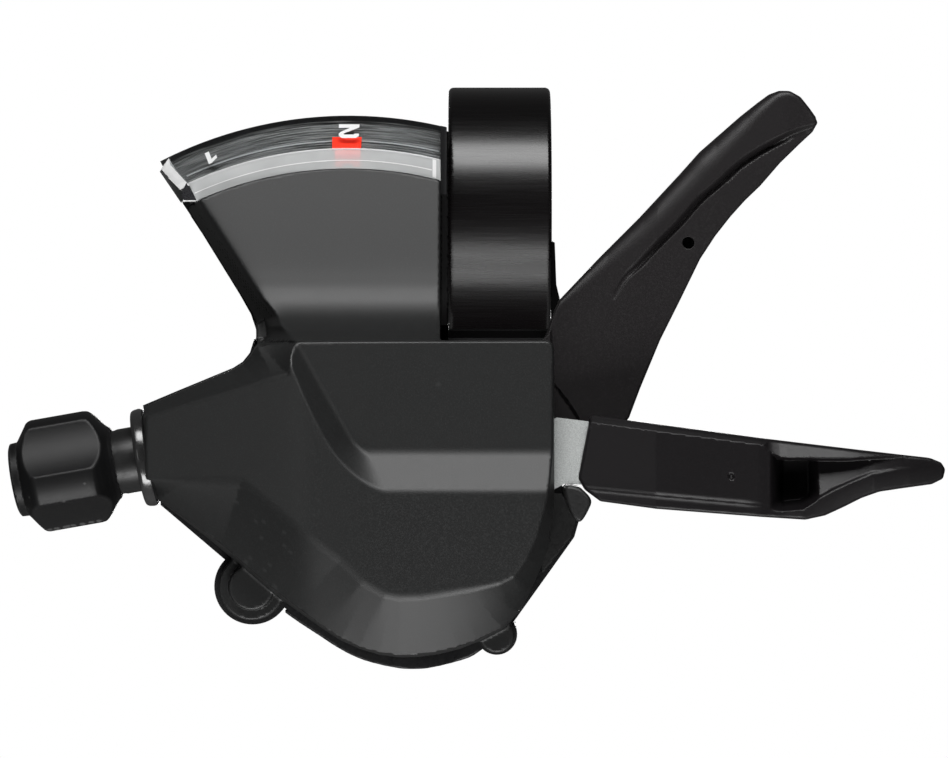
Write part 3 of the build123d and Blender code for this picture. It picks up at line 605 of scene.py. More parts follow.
# CAD material slots to the materials above
SLOT_MATERIAL = {
    "cover": "cover", "base": "base", "band": "band", "bolt_steel": "black_steel",
    "zinc": "zinc", "lever_steel": "steel", "spring_steel": "spring",
    "spool_plastic": "nylon", "grip": "grip", "trigger": "trigger", "stop_rubber": "stop",
    "lens": "nylon", "dial": "base", "needle": "base", "collar": "collar",
    "barrel": "barrel", "knob": "knob"}
node_slot = {part["node"]: part["material_slot"] for part in frame["record"]["subparts"]}
for name, ob in frame["nodes"].items():
    ob.data.materials.clear()
    ob.data.materials.append(MAT[SLOT_MATERIAL[node_slot[name]]])

# =====================================================================
#  front cover
# =====================================================================
PARTING_Y = -19.5               # rear edge of the cover
FACE_Y = -33.0
PANEL_DEPTH = 2.4               # recess of the upper panel
PANEL_Y = FACE_Y + PANEL_DEPTH
FAN_REAR_Y = -13.5
FAN_FOOT_Z = -15.05             # only the fan above this reaches behind the parting plane
FAN_RADIUS = 40.78              # from the dial centre
LOWER_SCREW = (-27.8, -42.9)
LUG = (-0.4, -48.3)

# outlines as (x, z)
COVER_REAR = [
    (-39.9, -22.75), (-35.94, -21.0), (-31.45, -19.09), (-29.77, -18.42), (-28.65, -17.74),
    (-27.86, -16.73), (-27.3, -15.5), (6.0, -15.3), (6.1, -33.0), (5.4, -38.6), (3.6, -43.0),
    (2.3, -45.6), (0.53, -47.59), (-2.28, -49.05), (-4.52, -49.95), (-6.77, -50.51),
    (-9.01, -50.84), (-11.25, -50.9), (-13.5, -50.62), (-15.74, -49.95), (-17.99, -48.94),
    (-20.23, -47.48), (-22.47, -45.89), (-24.16, -44.68), (-26.06, -43.23), (-32.6, -37.7),
    (-38.4, -33.2)]
COVER_FRONT = [
    (-39.4, -23.8), (-23.3, -19.1), (-22.3, -15.6), (5.4, -15.6), (5.2, -31.9),
    (4.78, -33.92), (4.02, -36.64), (2.82, -39.3), (1.4, -41.3), (-0.12, -42.0),
    (-2.30, -42.41), (-4.47, -42.74), (-6.65, -43.07), (-8.83, -43.39), (-11.01, -43.45),
    (-12.64, -43.18), (-15.15, -41.76), (-17.55, -39.36), (-21.90, -36.10), (-28.44, -30.9),
    (-39.4, -30.9)]
FAN = [
    (-27.41, -21.0), (-27.41, -14.7), (-27.52, -13.37), (-28.08, -12.24), (-29.6, -9.9),
    (-33.8, -3.2), (-36.3, 0.6), (-38.6, 3.9), (-44.0, 12.0), (-6.7, 12.0), (-6.7, -21.0)]
# fills the corner between the fan's left flank and the cover
CORNER_FILL = [
    (-31.45, -19.09), (-29.77, -18.42), (-28.65, -17.74), (-27.86, -16.73), (-27.41, -15.83),
    (-27.41, -14.7), (-27.52, -13.37), (-24.0, -12.0), (-22.0, -18.0), (-28.0, -21.0)]
# front of the fan as (z, y)
FAN_PROFILE = np.array(spline([
    (-21.0, -30.2), (-15.9, -30.2), (-15.45, -29.6), (-14.9, -28.0), (-14.3, -26.5),
    (-13.4, -25.0), (-12.4, -23.8), (-11.2, -22.85), (-9.8, -22.15), (-8.2, -21.6),
    (-6.0, -20.95), (-2.0, -19.85), (4.5, -18.1), (12.0, -16.1)], 20))


def main_face_y(x):
    """L-shaped main face: flat, sloping back over the left block"""
    bend_x, softness, slope = -21.5, 1.6, 0.40
    t = bend_x - x
    return FACE_Y + slope * (0.5 * (t + np.sqrt(t * t + softness * softness)))


def panel_y(x, z):
    """floor and walls of the recessed upper panel"""
    # the floor ends at a slanted line on the left and a level one below
    top, foot = (-21.78, -16.69), (-17.10, -25.00)
    length = math.hypot(foot[0] - top[0], foot[1] - top[1])
    normal_x, normal_z = (foot[1] - top[1]) / length, -(foot[0] - top[0]) / length
    past_left = (x - top[0]) * normal_x + (z - top[1]) * normal_z
    past_foot = -27.64 - z
    left_rise = past_left * (PANEL_DEPTH / 2.55)
    foot_rise = past_foot * (PANEL_DEPTH / 4.32)
    rounding = 0.9
    rise = np.sqrt(np.maximum(left_rise + rounding, 0) ** 2
                   + np.maximum(foot_rise + rounding, 0) ** 2)
    rise = np.maximum(rise - rounding, -1.0)
    return PANEL_Y - smooth_max(rise, 0.0, 0.35)


def fan_y(z):
    return np.interp(z, FAN_PROFILE[:, 0], FAN_PROFILE[:, 1])


def fan_face_y(x, z, side):
    """concave sweep of the fan with a set-in facet along its left flank"""
    width = np.interp(z, [-18.5, -16.2, -13.7, -10.75, -6, 0, 6],
                      [7.5, 5.3, 3.0, 2.1, 2.1, 2.0, 2.0])
    into = np.maximum((side + width) / width, -2.0)
    depth = np.interp(z, [-16, -12, -8, 4], [12.0, 9.5, 8.0, 5.2])
    facet = 0.5 * (into + np.sqrt(into * into + 0.006)) * depth
    return fan_y(z) + facet * np.clip((-18.0 - x) / 4.0, 0, 1)


def cover_block(x, y, z):
    """main block: steep sides at the rear, broad facets leading in to the face"""
    rear = rounded_polygon(x, z, COVER_REAR, 1.2)
    front = rounded_polygon(x, z, COVER_FRONT, 0.4)
    face = main_face_y(x)
    # how far from the parting plane to the face, and how much of the front outline
    forward = np.clip((PARTING_Y - y) / (PARTING_Y - face), -0.05, 1.15)
    facet_start = 0.70
    share = np.where(forward < facet_start, forward * 0.17,
                     0.12 + (forward - facet_start) * (0.88 / 0.30))
    slope = np.where(forward < facet_start, 0.17, 2.93) * (rear - front) / (PARTING_Y - face)
    side = mix(rear, front, share) / np.sqrt(1 + slope * slope)
    return rolled(side, (smooth_max(face, panel_y(x, z), 0.25) - y) * 0.92, 0.28)


def fan_block(x, y, z):
    side = rounded_polygon(x, z, FAN, 0.8)
    shape = rolled(side, (fan_face_y(x, z, side) - y) * 0.85, 0.30)
    shape = overlap(shape, y - FAN_REAR_Y)
    shape = rolled(shape, circle(x, z, DIAL, FAN_RADIUS), 0.22)
    return overlap(shape, -20.0 - z)


def cover_outside(x, y, z):
    shape = smooth_min(cover_block(x, y, z), fan_block(x, y, z), 0.35)
    fill_face = -19.9 + 0.9 * np.maximum(z + 15.0, 0) - y
    fill = rolled(polygon(x, z, CORNER_FILL), fill_face * 0.8, 0.3)
    shape = smooth_min(shape, overlap(fill, y - FAN_REAR_Y), 0.3)
    # rounded housing of the adjuster socket
    radius, along, _, _ = adjuster_coords(x, y, z)
    socket = rolled(radius - 5.35, slab(along, -9.0, -0.35), 0.4)
    shape = smooth_min(shape, socket, 0.8)
    # stepped boss over the lower screw
    wide = rolled(circle(x, z, LOWER_SCREW, 3.75), -20.9 - y, 0.25)
    narrow = rolled(circle(x, z, LOWER_SCREW, 2.55), -22.0 - y, 0.25)
    shape = smooth_min(shape, union(wide, narrow), 0.35)
    # lug at the lower right
    return smooth_min(shape, rolled(circle(x, z, LUG, 2.0), -21.1 - y, 0.3), 0.3)


def cover_distance(x, y, z):
    outside = cover_outside(x, y, z)
    shape = rolled(outside, y - PARTING_Y, 0.12)
    # the fan carries on to the rear of the display
    shape = union(shape, overlap(outside, y - FAN_REAR_Y, FAN_FOOT_Z - z))
    shape = cut(shape, outside + 1.25)
    fan_hollow = overlap(polygon(x, z, shrink(FAN, 1.3)),
                         fan_face_y(x, z, rounded_polygon(x, z, FAN, 0.8)) + 1.5 - y,
                         -13.0 - z)
    shape = np.where(circle(x, z, DIAL, 38.6) > -3.0, cut(shape, fan_hollow), shape)
    # mouth for the two levers
    mouth = union(overlap(3.3 - x, slab(y, -29.1, -20.2), slab(z, -37.0, -10.0)),
                  overlap(-1.1 - x, slab(y, -29.1, -25.9), slab(z, -19.0, -10.0)))
    shape = rolled(shape, -mouth, 0.2)
    radius, along, _, _ = adjuster_coords(x, y, z)
    return cut(shape, overlap(radius - 4.5, slab(along, -12, 3)))


solid("cover_shell", cover_distance, (-41.5, -34.2, -52.5), (7.2, -13.2, 5.2), 0.30,
      "housing", MAT["cover"], "front_cover")

# =====================================================================
#  dark pieces beside and below the cover
# =====================================================================
FIN = [(5.8, -4.0), (6.2, -4.2), (6.38, -8.95), (6.75, -10.5), (6.9, -16.0), (5.8, -16.0)]

# rim along the lower edge of the cover: a smooth lower side, then the inner corners
RIM = spline([
    (-24.36, -45.75), (-22.66, -46.96), (-20.40, -48.43), (-18.13, -49.90), (-15.87, -51.03),
    (-13.60, -51.71), (-11.33, -52.15), (-9.63, -52.24), (-7.94, -52.10), (-5.67, -51.60),
    (-3.40, -50.90), (-2.0, -50.0)], 5)
RIM += [(1.0, -46.8), (-5.0, -48.6), (-12.0, -49.3), (-22.0, -44.3)]


def end_wall_distance(x, y, z):
    """filler between the display's cut end and the clamp, and the fin on the right"""
    front = np.where(z < 2.9, fan_y(z) + 1.0, -17.4 + (z - 2.9) * 0.80)
    lip = overlap(slab(x, -6.1, -5.84), 14.62 - np.sqrt(y * y + z * z))
    wall = overlap(union(slab(x, -6.72, -5.96), lip), front - y, y + 12.6)
    wall = overlap(wall, slab(z, -16.5, 8.6))
    return union(wall, overlap(polygon(x, z, FIN), slab(y, -15.4, -12.9)))


def rim_distance(x, y, z):
    return rolled(polygon(x, z, RIM), slab(y, -19.35, -12.5), 0.3)


def web_distance(x, y, z):
    """web under the clamp, its near-black material a painted shade"""
    return rolled(overlap(slab(x, -6.7, 6.3), slab(y, -12.4, -7.2)), slab(z, -16.2, -13.95), 0.2)


# the end wall and the web under the clamp take the painted-shade black
solid("end_wall", end_wall_distance, (-7.2, -24.5, -17.0), (7.4, -6.6, 9.2), 0.2,
      "housing", MAT["web"])
solid("base_rim", rim_distance, (-25.2, -19.9, -53.0), (2.0, -12.0, -43.8), 0.3,
      "housing", MAT["base"])
solid("clamp_web", web_distance, (-7.2, -13.0, -16.8), (6.9, -6.6, -13.4), 0.25,
      "housing", MAT["web"])

# =====================================================================
#  handlebar clamp band
# =====================================================================
BAND_RADIUS, BAND_HALF_WALL, BAND_BORE = 12.8, 1.6, 11.2
BAND_HALF_WIDTH = 5.9
EAR_GAP = (5.6, 7.6)            # y of the slot between the ears
FRONT_EAR = (2.05, EAR_GAP[0], -29.6, -12.4)    # y low and high, z low and high
REAR_EAR = (EAR_GAP[1], 11.2, -22.6, -10.6)
BOLT_Z, SMALL_HOLE_Z = -18.9, -26.4


def ear(x, y, z, y_low, y_high, z_low, z_high):
    shape = rolled(slab(y, y_low, y_high), slab(z, z_low, z_high), 0.4)
    return rolled(shape, np.abs(x) - BAND_HALF_WIDTH, 0.4)


def band_distance(x, y, z):
    radius = np.sqrt(y * y + z * z)
    ring = rolled(np.abs(radius - BAND_RADIUS) - BAND_HALF_WALL,
                  np.abs(x) - BAND_HALF_WIDTH, 0.55)
    ears = union(ear(x, y, z, *FRONT_EAR), ear(x, y, z, *REAR_EAR))
    shape = overlap(smooth_min(ring, ears, 0.8), BAND_BORE - radius)
    shape = rolled(shape, -overlap(slab(y, *EAR_GAP), slab(z, -27, -6.6)), 0.15)
    bolt_hole = np.sqrt(x * x + (z - BOLT_Z) ** 2) - 2.6
    shape = cut(shape, overlap(bolt_hole, slab(y, 0, 14)))
    small_hole = np.sqrt(x * x + (z - SMALL_HOLE_Z) ** 2) - 2.05
    shape = cut(shape, overlap(small_hole, slab(y, 0, 7)))
    # hexagonal pocket around the bolt hole
    off_z = np.abs(z - BOLT_Z)
    hexagon = overlap(np.abs(x) * 0.866 + off_z * 0.5, off_z) - 4.1
    return cut(shape, overlap(hexagon, slab(y, 0.5, 4.65)))


solid("band_shell", band_distance, (-6.6, -15.2, -30.4), (6.6, 15.2, 15.2), 0.32,
      "housing", MAT["band"], "clamp_band")

# =====================================================================
#  thumb lever grip
# =====================================================================
GRIP_Y = -30.9                  # front of the grip's body
GRIP_POCKET_Y = -25.9
BODY_END_X = 27.8
CHAMFER_END_X = 16.95

GRIP = [
    (9.85, -23.62), (17.02, -24.61), (28.6, -26.16), (39.64, -27.48), (44.6, -28.05),
    (47.3, -28.35), (48.55, -28.85), (49.0, -29.6), (48.75, -30.65), (47.5, -31.25),
    (44.05, -31.70), (41.6, -32.05), (39.6, -32.75), (37.6, -33.75), (35.6, -34.65),
    (33.4, -35.1), (28.6, -34.77), (17.02, -33.88), (10.95, -33.11), (9.3, -31.9),
    (8.5, -30.6)]
# slot for the lever plate
PLATE_SLOT = [
    (8.0, -24.0), (9.5, -24.25), (18.0, -25.95), (30.05, -28.35),
    (30.05, -32.25), (18.0, -31.65), (9.2, -31.35), (8.0, -31.3)]


def grip_body_y(x, z, flange):
    # the near end falls away towards the cover
    y = np.maximum(GRIP_Y, GRIP_Y + (CHAMFER_END_X - x) * (2.55 / 8.45))
    # broad chamfer along the upper edge, near end
    above = line(x, z, (9.85, -23.62), (39.64, -27.48))
    widening = np.where(x < 17.0, (CHAMFER_END_X - x) * 0.30, 0)
    y = np.maximum(y, GRIP_Y + 0.9 + widening + above * 1.1)
    # shallow groove along the lower edge
    below = line(x, z, (30.6, -34.9), (10.95, -33.11))
    y = y + np.exp(-((below + 1.25) / 0.28) ** 2) * 0.16 * ease((29.5 - x) / 3)
    # moulding mark
    off_mark = np.sqrt((x - 25.2) ** 2 + (z + 30.35) ** 2)
    y = y + 0.35 * np.clip(1 - (off_mark / 0.35) ** 2, 0, 1)
    y = np.where(x > BODY_END_X, np.maximum(y, flange), y)
    return y + 0.22 * ease((x - 28.0) / 1.8)


def paddle_y(x, z, flange, flange_z):
    """crease from the foot of the pocket to the tip, scooped above it"""
    crease_z = np.interp(x, [30.8, 33.1, 34.6, 36.6, 38.5, 40.7, 44.0, 49.0],
                         [-33.9, -33.7, -32.8, -31.7, -30.85, -30.0, -29.5, -29.3])
    up = z - crease_z
    crease_y = np.interp(x, [30.5, 33.0, 36.0, 41.0, 45.0, 49.0],
                         [-30.5, -30.35, -30.1, -29.7, -29.0, -28.1])
    scoop = np.interp(x, [36.0, 39.0, 43.0, 46.0], [1.0, 0.85, 0.30, 0.0])
    below = crease_y + 0.12 * np.maximum(-up, 0) ** 1.6
    above = crease_y + (0.38 + 0.42 * np.maximum(up, 0)) * scoop
    y = mix(below, above, ease(up / 0.5 + 0.5))
    # deep pocket between body and paddle
    y = mix(y, GRIP_POCKET_Y, ease((35.0 - x) / 1.0) * ease(up / 1.1 + 0.3))
    return mix(y, np.minimum(y, flange), ease((z - flange_z) / 0.4 + 0.5))


def grip_face_y(x, z):
    # upper flange, one slanted face from the body to the paddle
    flange_z = np.interp(x, [27.8, 29.3, 30.6, 34.0, 38.0, 42.5, 46.0, 49.0],
                         [-25.7, -27.5, -28.4, -28.5, -28.5, -28.2, -28.05, -28.0])
    flange = -30.88 + 0.55 * (z - flange_z) + ease((x - 37.0) / 9.0) * 1.6
    return mix(grip_body_y(x, z, flange), paddle_y(x, z, flange, flange_z),
               ease((x - 29.4) / 2.0))


def grip_distance(x, y, z):
    side = rounded_polygon(x, z, GRIP, 0.5)
    shape = rolled(side, (grip_face_y(x, z) - y) * 0.80, 0.35)
    shape = rolled(shape, y + 24.7, 0.6)
    return cut(shape, overlap(polygon(x, z, PLATE_SLOT), slab(y, -27.93, -26.47)))


solid("grip_shell", grip_distance, (7.6, -31.8, -36.2), (50.0, -23.8, -22.8), 0.21,
      "thumb_lever", MAT["grip"], "thumb_lever_grip")

# =====================================================================
#  trigger lever
# =====================================================================
TRIGGER_Y = -23.45              # front of the web
TRIGGER_RIM = 0.55              # how far the rim stands in front of the web
HUB_RADIUS, HUB_BORE = 7.0, 3.03
HUB_Y = (-24.2, -22.9)

TRIGGER = [
    (4.4, -17.2), (5.0, -14.9), (5.8, -12.6), (6.5, -10.9), (11.1, -6.05), (15.56, -1.59),
    (20.01, 3.2), (22.24, 5.7), (26.7, 9.6), (28.73, 11.2), (29.9, 12.05), (31.0, 12.45),
    (32.2, 12.4), (33.4, 11.75), (34.4, 10.55), (35.1, 9.55), (35.3, 8.85), (34.75, 7.85),
    (33.39, 6.6), (31.16, 4.43), (28.93, 1.86), (27.2, 0.2), (25.59, -1.59), (23.92, -3.71),
    (22.24, -6.27), (20.01, -10.84), (17.78, -15.3), (15.56, -20.65), (14.3, -24.0),
    (12.8, -25.6), (10.4, -25.7), (6.5, -24.6), (4.4, -24.8)]
# arm from the hub out to the lever
TRIGGER_ARM = [
    (-9.0, -28.0), (-3.6, -26.5), (2.0, -19.4), (3.6, -16.6), (6.5, -13.0), (8.0, -12.0),
    (9.5, -25.6), (6.5, -24.2), (1.0, -27.6), (-2.6, -31.0), (-4.0, -37.0)]
# foot of the rim
STEP = spline([
    (12.3, -10.2), (13.6, -8.2), (15.3, -6.6), (17.5, -4.3), (19.7, -2.1), (21.9, 0.4),
    (24.1, 2.3), (26.3, 4.3), (28.5, 5.8), (30.7, 7.0), (33.0, 8.0), (36.0, 8.9)], 5)
# upper edge, where the finger pulls
FINGER_EDGE = spline([
    (4.0, -13.4), (6.5, -10.9), (11.1, -6.05), (15.56, -1.59), (20.01, 3.2), (22.24, 5.7),
    (26.7, 9.6), (28.93, 11.3), (31.2, 12.45), (33.2, 12.0), (35.3, 9.0)], 5)


def trigger_face_y(x, z, over_step):
    grow = np.clip((x - 12.0) / 5.5, 0, 1)
    web = TRIGGER_Y + 0.25 * np.clip((x - 24) / 10, 0, 1)
    rim = TRIGGER_Y - TRIGGER_RIM * grow * (0.35 + 0.65 * ease((35.0 - x) / 4))
    y = mix(web, rim, ease((over_step + 0.30) / 0.6))
    # narrow groove along the foot of the rim
    groove = ease(1.25 - np.abs(over_step + 0.42) / 0.30)
    y = y + 0.55 * groove * grow * ease((33.2 - x) / 3.5)
    # roll back over the finger edge
    inward = np.maximum(-open_line(x, z, FINGER_EDGE), 0)
    roll = np.interp(x, [6, 10, 16, 24, 27.5, 31, 35], [0.5, 1.3, 2.2, 2.6, 2.0, 0.9, 0.5])
    t = np.clip(1 - inward / roll, 0, 1)
    y = y + roll * 0.72 * (1 - np.sqrt(np.maximum(1 - t * t, 0)))
    # the part nearest the axle is set back
    hub_end = circle(x, z, AXLE, 21.2)
    return y + 0.35 * np.clip(-hub_end / 0.35 + 0.5, 0, 1) * np.clip((x - 5.0) / 1.5, 0, 1)


def trigger_distance(x, y, z):
    side = rounded_polygon(x, z, TRIGGER, 0.35)
    over_step = open_line(x, z, STEP)
    shape = rolled(side, (trigger_face_y(x, z, over_step) - y) * 0.8, 0.28)
    # the rim is deeper to the rear than the web
    rear = smooth_min(y + 21.4, np.maximum(y + 19.9, -over_step + 0.2), 0.4)
    shape = rolled(shape, rear, 0.35)
    # small blind moulding hole
    shape = cut(shape, overlap(circle(x, z, (20.91, -4.49), 0.66), y + 21.75))
    arm = overlap(polygon(x, z, TRIGGER_ARM), slab(y, *HUB_Y), x - 5.6)
    hub = overlap(circle(x, z, AXLE, HUB_RADIUS), slab(y, *HUB_Y))
    return cut(smooth_min(shape, union(arm, hub), 0.15), circle(x, z, AXLE, HUB_BORE))


solid("trigger_shell", trigger_distance, (-18.0, -25.4, -42.5), (36.4, -19.0, 13.4), 0.22,
      "trigger", MAT["trigger"], "trigger_lever")

# =====================================================================
#  lever stop and the wall beside it
# =====================================================================
STOP = [(6.9, -31.5), (8.5, -31.55), (9.3, -32.1), (10.0, -33.0),
        (9.7, -34.0), (9.0, -35.2), (8.3, -35.3), (7.5, -34.0)]
MOUTH_WALL = [(4.6, -32.3), (7.0, -32.5), (8.5, -35.3), (7.9, -37.4), (4.6, -41.6)]


def stop_distance(x, y, z):
    side = polygon(x, z, spline(shrink(STOP, 0.3), 4, closed=True)) - 0.3
    return rolled(side, slab(y, -28.4, -19.55), 0.45)


def mouth_wall_distance(x, y, z):
    return overlap(polygon(x, z, MOUTH_WALL), slab(y, -20.7, -19.6))


solid("mouth_wall", mouth_wall_distance, (4.0, -21.2, -42.2), (9.2, -19.0, -31.8), 0.2,
      "housing", MAT["stop"])
solid("stop_shell", stop_distance, (5.8, -29.2, -36.4), (11.0, -18.8, -30.6), 0.16,
      "housing", MAT["stop"], "lever_stop")

# =====================================================================
#  cable adjuster
# =====================================================================
KNOB_RADIUS = 6.4
FLUTE_ANGLE, FLUTES = 61.0, 4
FLUTE_CENTRE, FLUTE_RADIUS = 15.55, 10.5    # a flute is a large cylinder beside the knob
THREAD_START, THREAD_PITCH, THREAD_TURNS = -6.6, 0.8, 7
THREAD_ROOT, THREAD_CREST = 3.45, 3.7
SIDES = 96


def knob_distance(x, y, z):
    radius, along, up, front = adjuster_coords(x, y, z)
    shape = radius - KNOB_RADIUS
    for i in range(FLUTES):
        angle = math.radians(FLUTE_ANGLE + 360.0 / FLUTES * i)
        toward = up * math.cos(angle) + front * math.sin(angle)
        across = -up * math.sin(angle) + front * math.cos(angle)
        flute = np.sqrt((toward - FLUTE_CENTRE) ** 2 + across * across) - FLUTE_RADIUS
        shape = rolled(shape, -flute, 0.14)
    # tapers to a collar at both ends
    envelope = np.interp(
        along,
        [3.3, 3.6, 4.0, 4.4, 5.0, 5.5, 5.9, 6.4, 12.3, 12.9, 13.95, 14.25, 15.05, 15.25],
        [3.72, 3.95, 4.25, 4.7, 5.5, 6.05, 6.35, 6.55, 6.55, 6.1, 4.6, 4.2, 4.15, 3.9])
    shape = rolled(shape, (radius - envelope) * 0.70, 0.20)
    shape = rolled(shape, slab(along, 3.5, 15.3), 0.25)
    # bore for the barrel, and the smaller one at the outer end
    shape = cut(shape, overlap(radius - 3.74, along - 10.6))
    return rolled(shape, -(radius - 2.55), 0.2)


def revolved(name, profile, material, body, replaced):
    """closed profile of (distance along, radius) turned about the adjuster axis"""
    rows = []
    for i in range(SIDES):
        angle = 2 * math.pi * i / SIDES
        outward = ADJUSTER_UP * math.cos(angle) + FRONTWARD * math.sin(angle)
        rows.append([ADJUSTER + ADJUSTER_OUT * along + outward * radius
                     for along, radius in profile])
    ob = smooth_object(name, *grid(rows, join_rows=True))
    attach(ob, material, body, replaced)
    bevel = ob.modifiers.new("edge", "BEVEL")
    bevel.width = 0.12 * MM
    bevel.segments = 3
    bevel.limit_method = "ANGLE"
    bevel.angle_limit = math.radians(25)
    bevel.harden_normals = True


def barrel_profile():
    """flange and rolled thread inside the cover, plain turned neck outside"""
    profile = [(-7.4, 2.0), (-7.4, 4.6), (-6.7, 4.6), (-6.7, 3.55)]
    for i in range(THREAD_TURNS):
        start = THREAD_START + THREAD_PITCH * i
        profile += [(start, THREAD_ROOT), (start + 0.18, THREAD_CREST),
                    (start + 0.34, THREAD_CREST), (start + 0.5, THREAD_ROOT)]
    return profile + [(-0.6, 3.68), (2.9, 3.68), (3.2, 3.6), (10.4, 3.6), (10.4, 2.55),
                      (8.0, 2.55), (8.0, 1.0), (-7.0, 1.0)]


COLLAR_PROFILE = [
    (-3.4, 3.73), (-3.4, 4.4), (-0.4, 4.4), (-0.4, 5.25), (-0.3, 5.48), (0.2, 5.56),
    (0.75, 5.48), (1.05, 5.28), (1.1, 4.9), (0.9, 4.6), (0.9, 3.95), (0.7, 3.73)]

solid("knob_shell", knob_distance, (-56.4, -24.2, -39.2), (-41.2, -9.8, -21.4), 0.17,
      "adjuster_knob", MAT["knob"], "adjuster_knob")
revolved("barrel_shell", barrel_profile(), MAT["barrel"], "adjuster_barrel",
         "adjuster_bolt")
revolved("collar_shell", COLLAR_PROFILE, MAT["collar"], "housing", "adjuster_collar")

# =====================================================================
#  gear display: angles are in degrees from straight up, negative to the left
# =====================================================================
CUT_X = -6.72                   # plane that cuts off the display's right end
BAND_START = -24.4              # left end of the lines on the frosted band


def dial_point(radius, degrees, y):
    angle = math.radians(degrees)
    return (DIAL[0] + radius * math.sin(angle), y, DIAL[1] + radius * math.cos(angle))


def plane_angle(x):
    """angle at which each radius meets the plane at x"""
    return lambda radius: math.degrees(math.asin(min(1.0, (x - DIAL[0]) / radius)))


def arc_strip(name, profile, start, end, steps, material, body, replaced=None):
    """closed (radius, y) profile swept about the dial; an end may depend on the radius"""
    rows = []
    for i in range(steps + 1):
        row = []
        for radius, y in profile:
            first = start(radius) if callable(start) else start
            last = end(radius) if callable(end) else end
            row.append(dial_point(radius, first + (last - first) * (i / steps), y))
        rows.append(row)
    ob = lofted(name, rows)
    attach(ob, material, body, replaced)
    return ob


def lens_y(radius):
    """front of the lens: a gentle inner band, then a steep cone"""
    return float(np.interp(radius, [40.75, 43.05, 47.06], [-18.13, -17.67, -12.4]))


def lens_left(radius):
    """left end of the lens"""
    return float(np.interp(radius, [40.7, 42.9, 43.17, 46.4, 46.9, 47.1],
                           [-24.58, -24.58, -24.85, -26.19, -25.9, -25.8]))


def end_left(radius):
    """outer side of the bright end wall, its upper corner trimmed"""
    return float(np.interp(radius, [42.0, 42.6, 46.04, 46.75, 46.95],
                           [-25.9, -26.1, -27.68, -26.3, -25.95]))


def build_lens():
    """frosted inner band, whose pale body also paints light shining through, and a clear ribbed
    outer cone
    """
    profile = [(40.70, -17.7), (40.70, -18.07), (40.75, -18.13)]
    profile += [(radius, lens_y(radius)) for radius in np.linspace(40.95, 42.95, 8)]
    profile.append((43.07, -17.64))
    for i, radius in enumerate(np.arange(43.2, 46.95, 0.085)):
        profile.append((radius, lens_y(radius) + (0.03 if i % 4 < 2 else 0.0)))
    profile += [(47.06, -12.40), (46.16, -12.40), (42.74, -16.95), (42.5, -17.2)]
    lens = arc_strip("lens_shell", profile, lens_left, plane_angle(CUT_X), 120,
                     MAT["lens_clear"], "housing", "display_lens")
    lens.data.materials.append(MAT["lens_frost_and_light"])
    for face in lens.data.polygons:
        centre = face.center / MM
        radius = math.hypot(centre[0] - DIAL[0], centre[2] - DIAL[1])
        if radius < 43.08 and centre[1] < lens_y(radius) + 0.15:
            face.material_index = 1


def build_lens_end():
    """solid wall at the left end, bulging a little to the front; its pale material paints the
    light glowing through the clear end
    """
    radii = [42.75, 43.4, 44.2, 45.1, 46.04, 46.4, 46.75, 46.9]
    steps = 4
    rows = []
    for i in range(steps + 1):
        t = i / steps

        def point(radius, y):
            outer = end_left(radius)
            return dial_point(radius, outer + (lens_left(radius) - 0.02 - outer) * t, y)

        bulge = 0.12 * math.sin(math.pi * t)
        rows.append([point(radius, lens_y(radius) - 0.05 - bulge) for radius in radii]
                    + [point(radius, max(lens_y(radius) + 1.6, -14.2) if radius < 46 else -12.4)
                       for radius in radii[::-1]])
    attach(lofted("lens_end", rows), MAT["lens_end"], "housing")


def build_dial():
    """dark fluted cone with a ledge behind it, and a thin printed arc"""
    profile = [(40.9, -15.9), (40.9, -16.4)]
    inner, outer, front, rear, flutes = 41.85, 46.0, -16.4, -12.45, 60
    for i in range(flutes):
        t = i / (flutes - 1)
        depth = 0.05 if i % 4 > 1 else 0.0
        profile.append((inner + (outer - inner) * t - depth, front + (rear - front) * t))
    profile += [(46.05, -12.39), (46.92, -12.37), (46.92, -12.20), (43.95, -12.20),
                (41.4, -15.95)]
    arc_strip("dial_shell", profile, -25.8, plane_angle(-6.75), 90, MAT["dial_rings"],
              "housing", "dial_plate")
    arc_strip("dial_arc", [(43.98, -14.50), (44.16, -14.33), (44.16, -14.1), (43.98, -14.2)],
              -24.6, plane_angle(-6.9), 100, MAT["line"], "housing")


def lens_strip(name, inner, outer, start, end_x, steps, material):
    """thin band on the outside of the lens"""
    lift, thickness = 0.03, 0.018
    inner_y, outer_y = lens_y(inner) - lift, lens_y(outer) - lift
    profile = [(inner, inner_y + thickness), (inner, inner_y),
               (outer, outer_y), (outer, outer_y + thickness)]
    arc_strip(name, profile, start, plane_angle(end_x), steps, material, "housing")


def glyph(name, outline, centre, degrees, radius, tilt=0.0):
    """outline (u right, v up) printed upside down on the lens cone"""
    turn = math.radians(tilt)
    front = []
    for u, v in outline:
        u, v = -(u - centre[0]), -(v - centre[1])
        u, v = (u * math.cos(turn) - v * math.sin(turn),
                u * math.sin(turn) + v * math.cos(turn))
        front.append(dial_point(radius + v, degrees + math.degrees(u / radius),
                                lens_y(radius + v) - 0.045))
    back = [(x, y + 0.03, z) for x, y, z in front]
    attach(extruded(name, front, back, triangulate=True), MAT["white"], "housing")


def plate(name, outline, front_y, rear_y, material):
    """(x, z) outline between two depths"""
    ob = extruded(name, [(x, front_y, z) for x, z in outline],
                  [(x, rear_y, z) for x, z in outline])
    attach(ob, material, "housing")


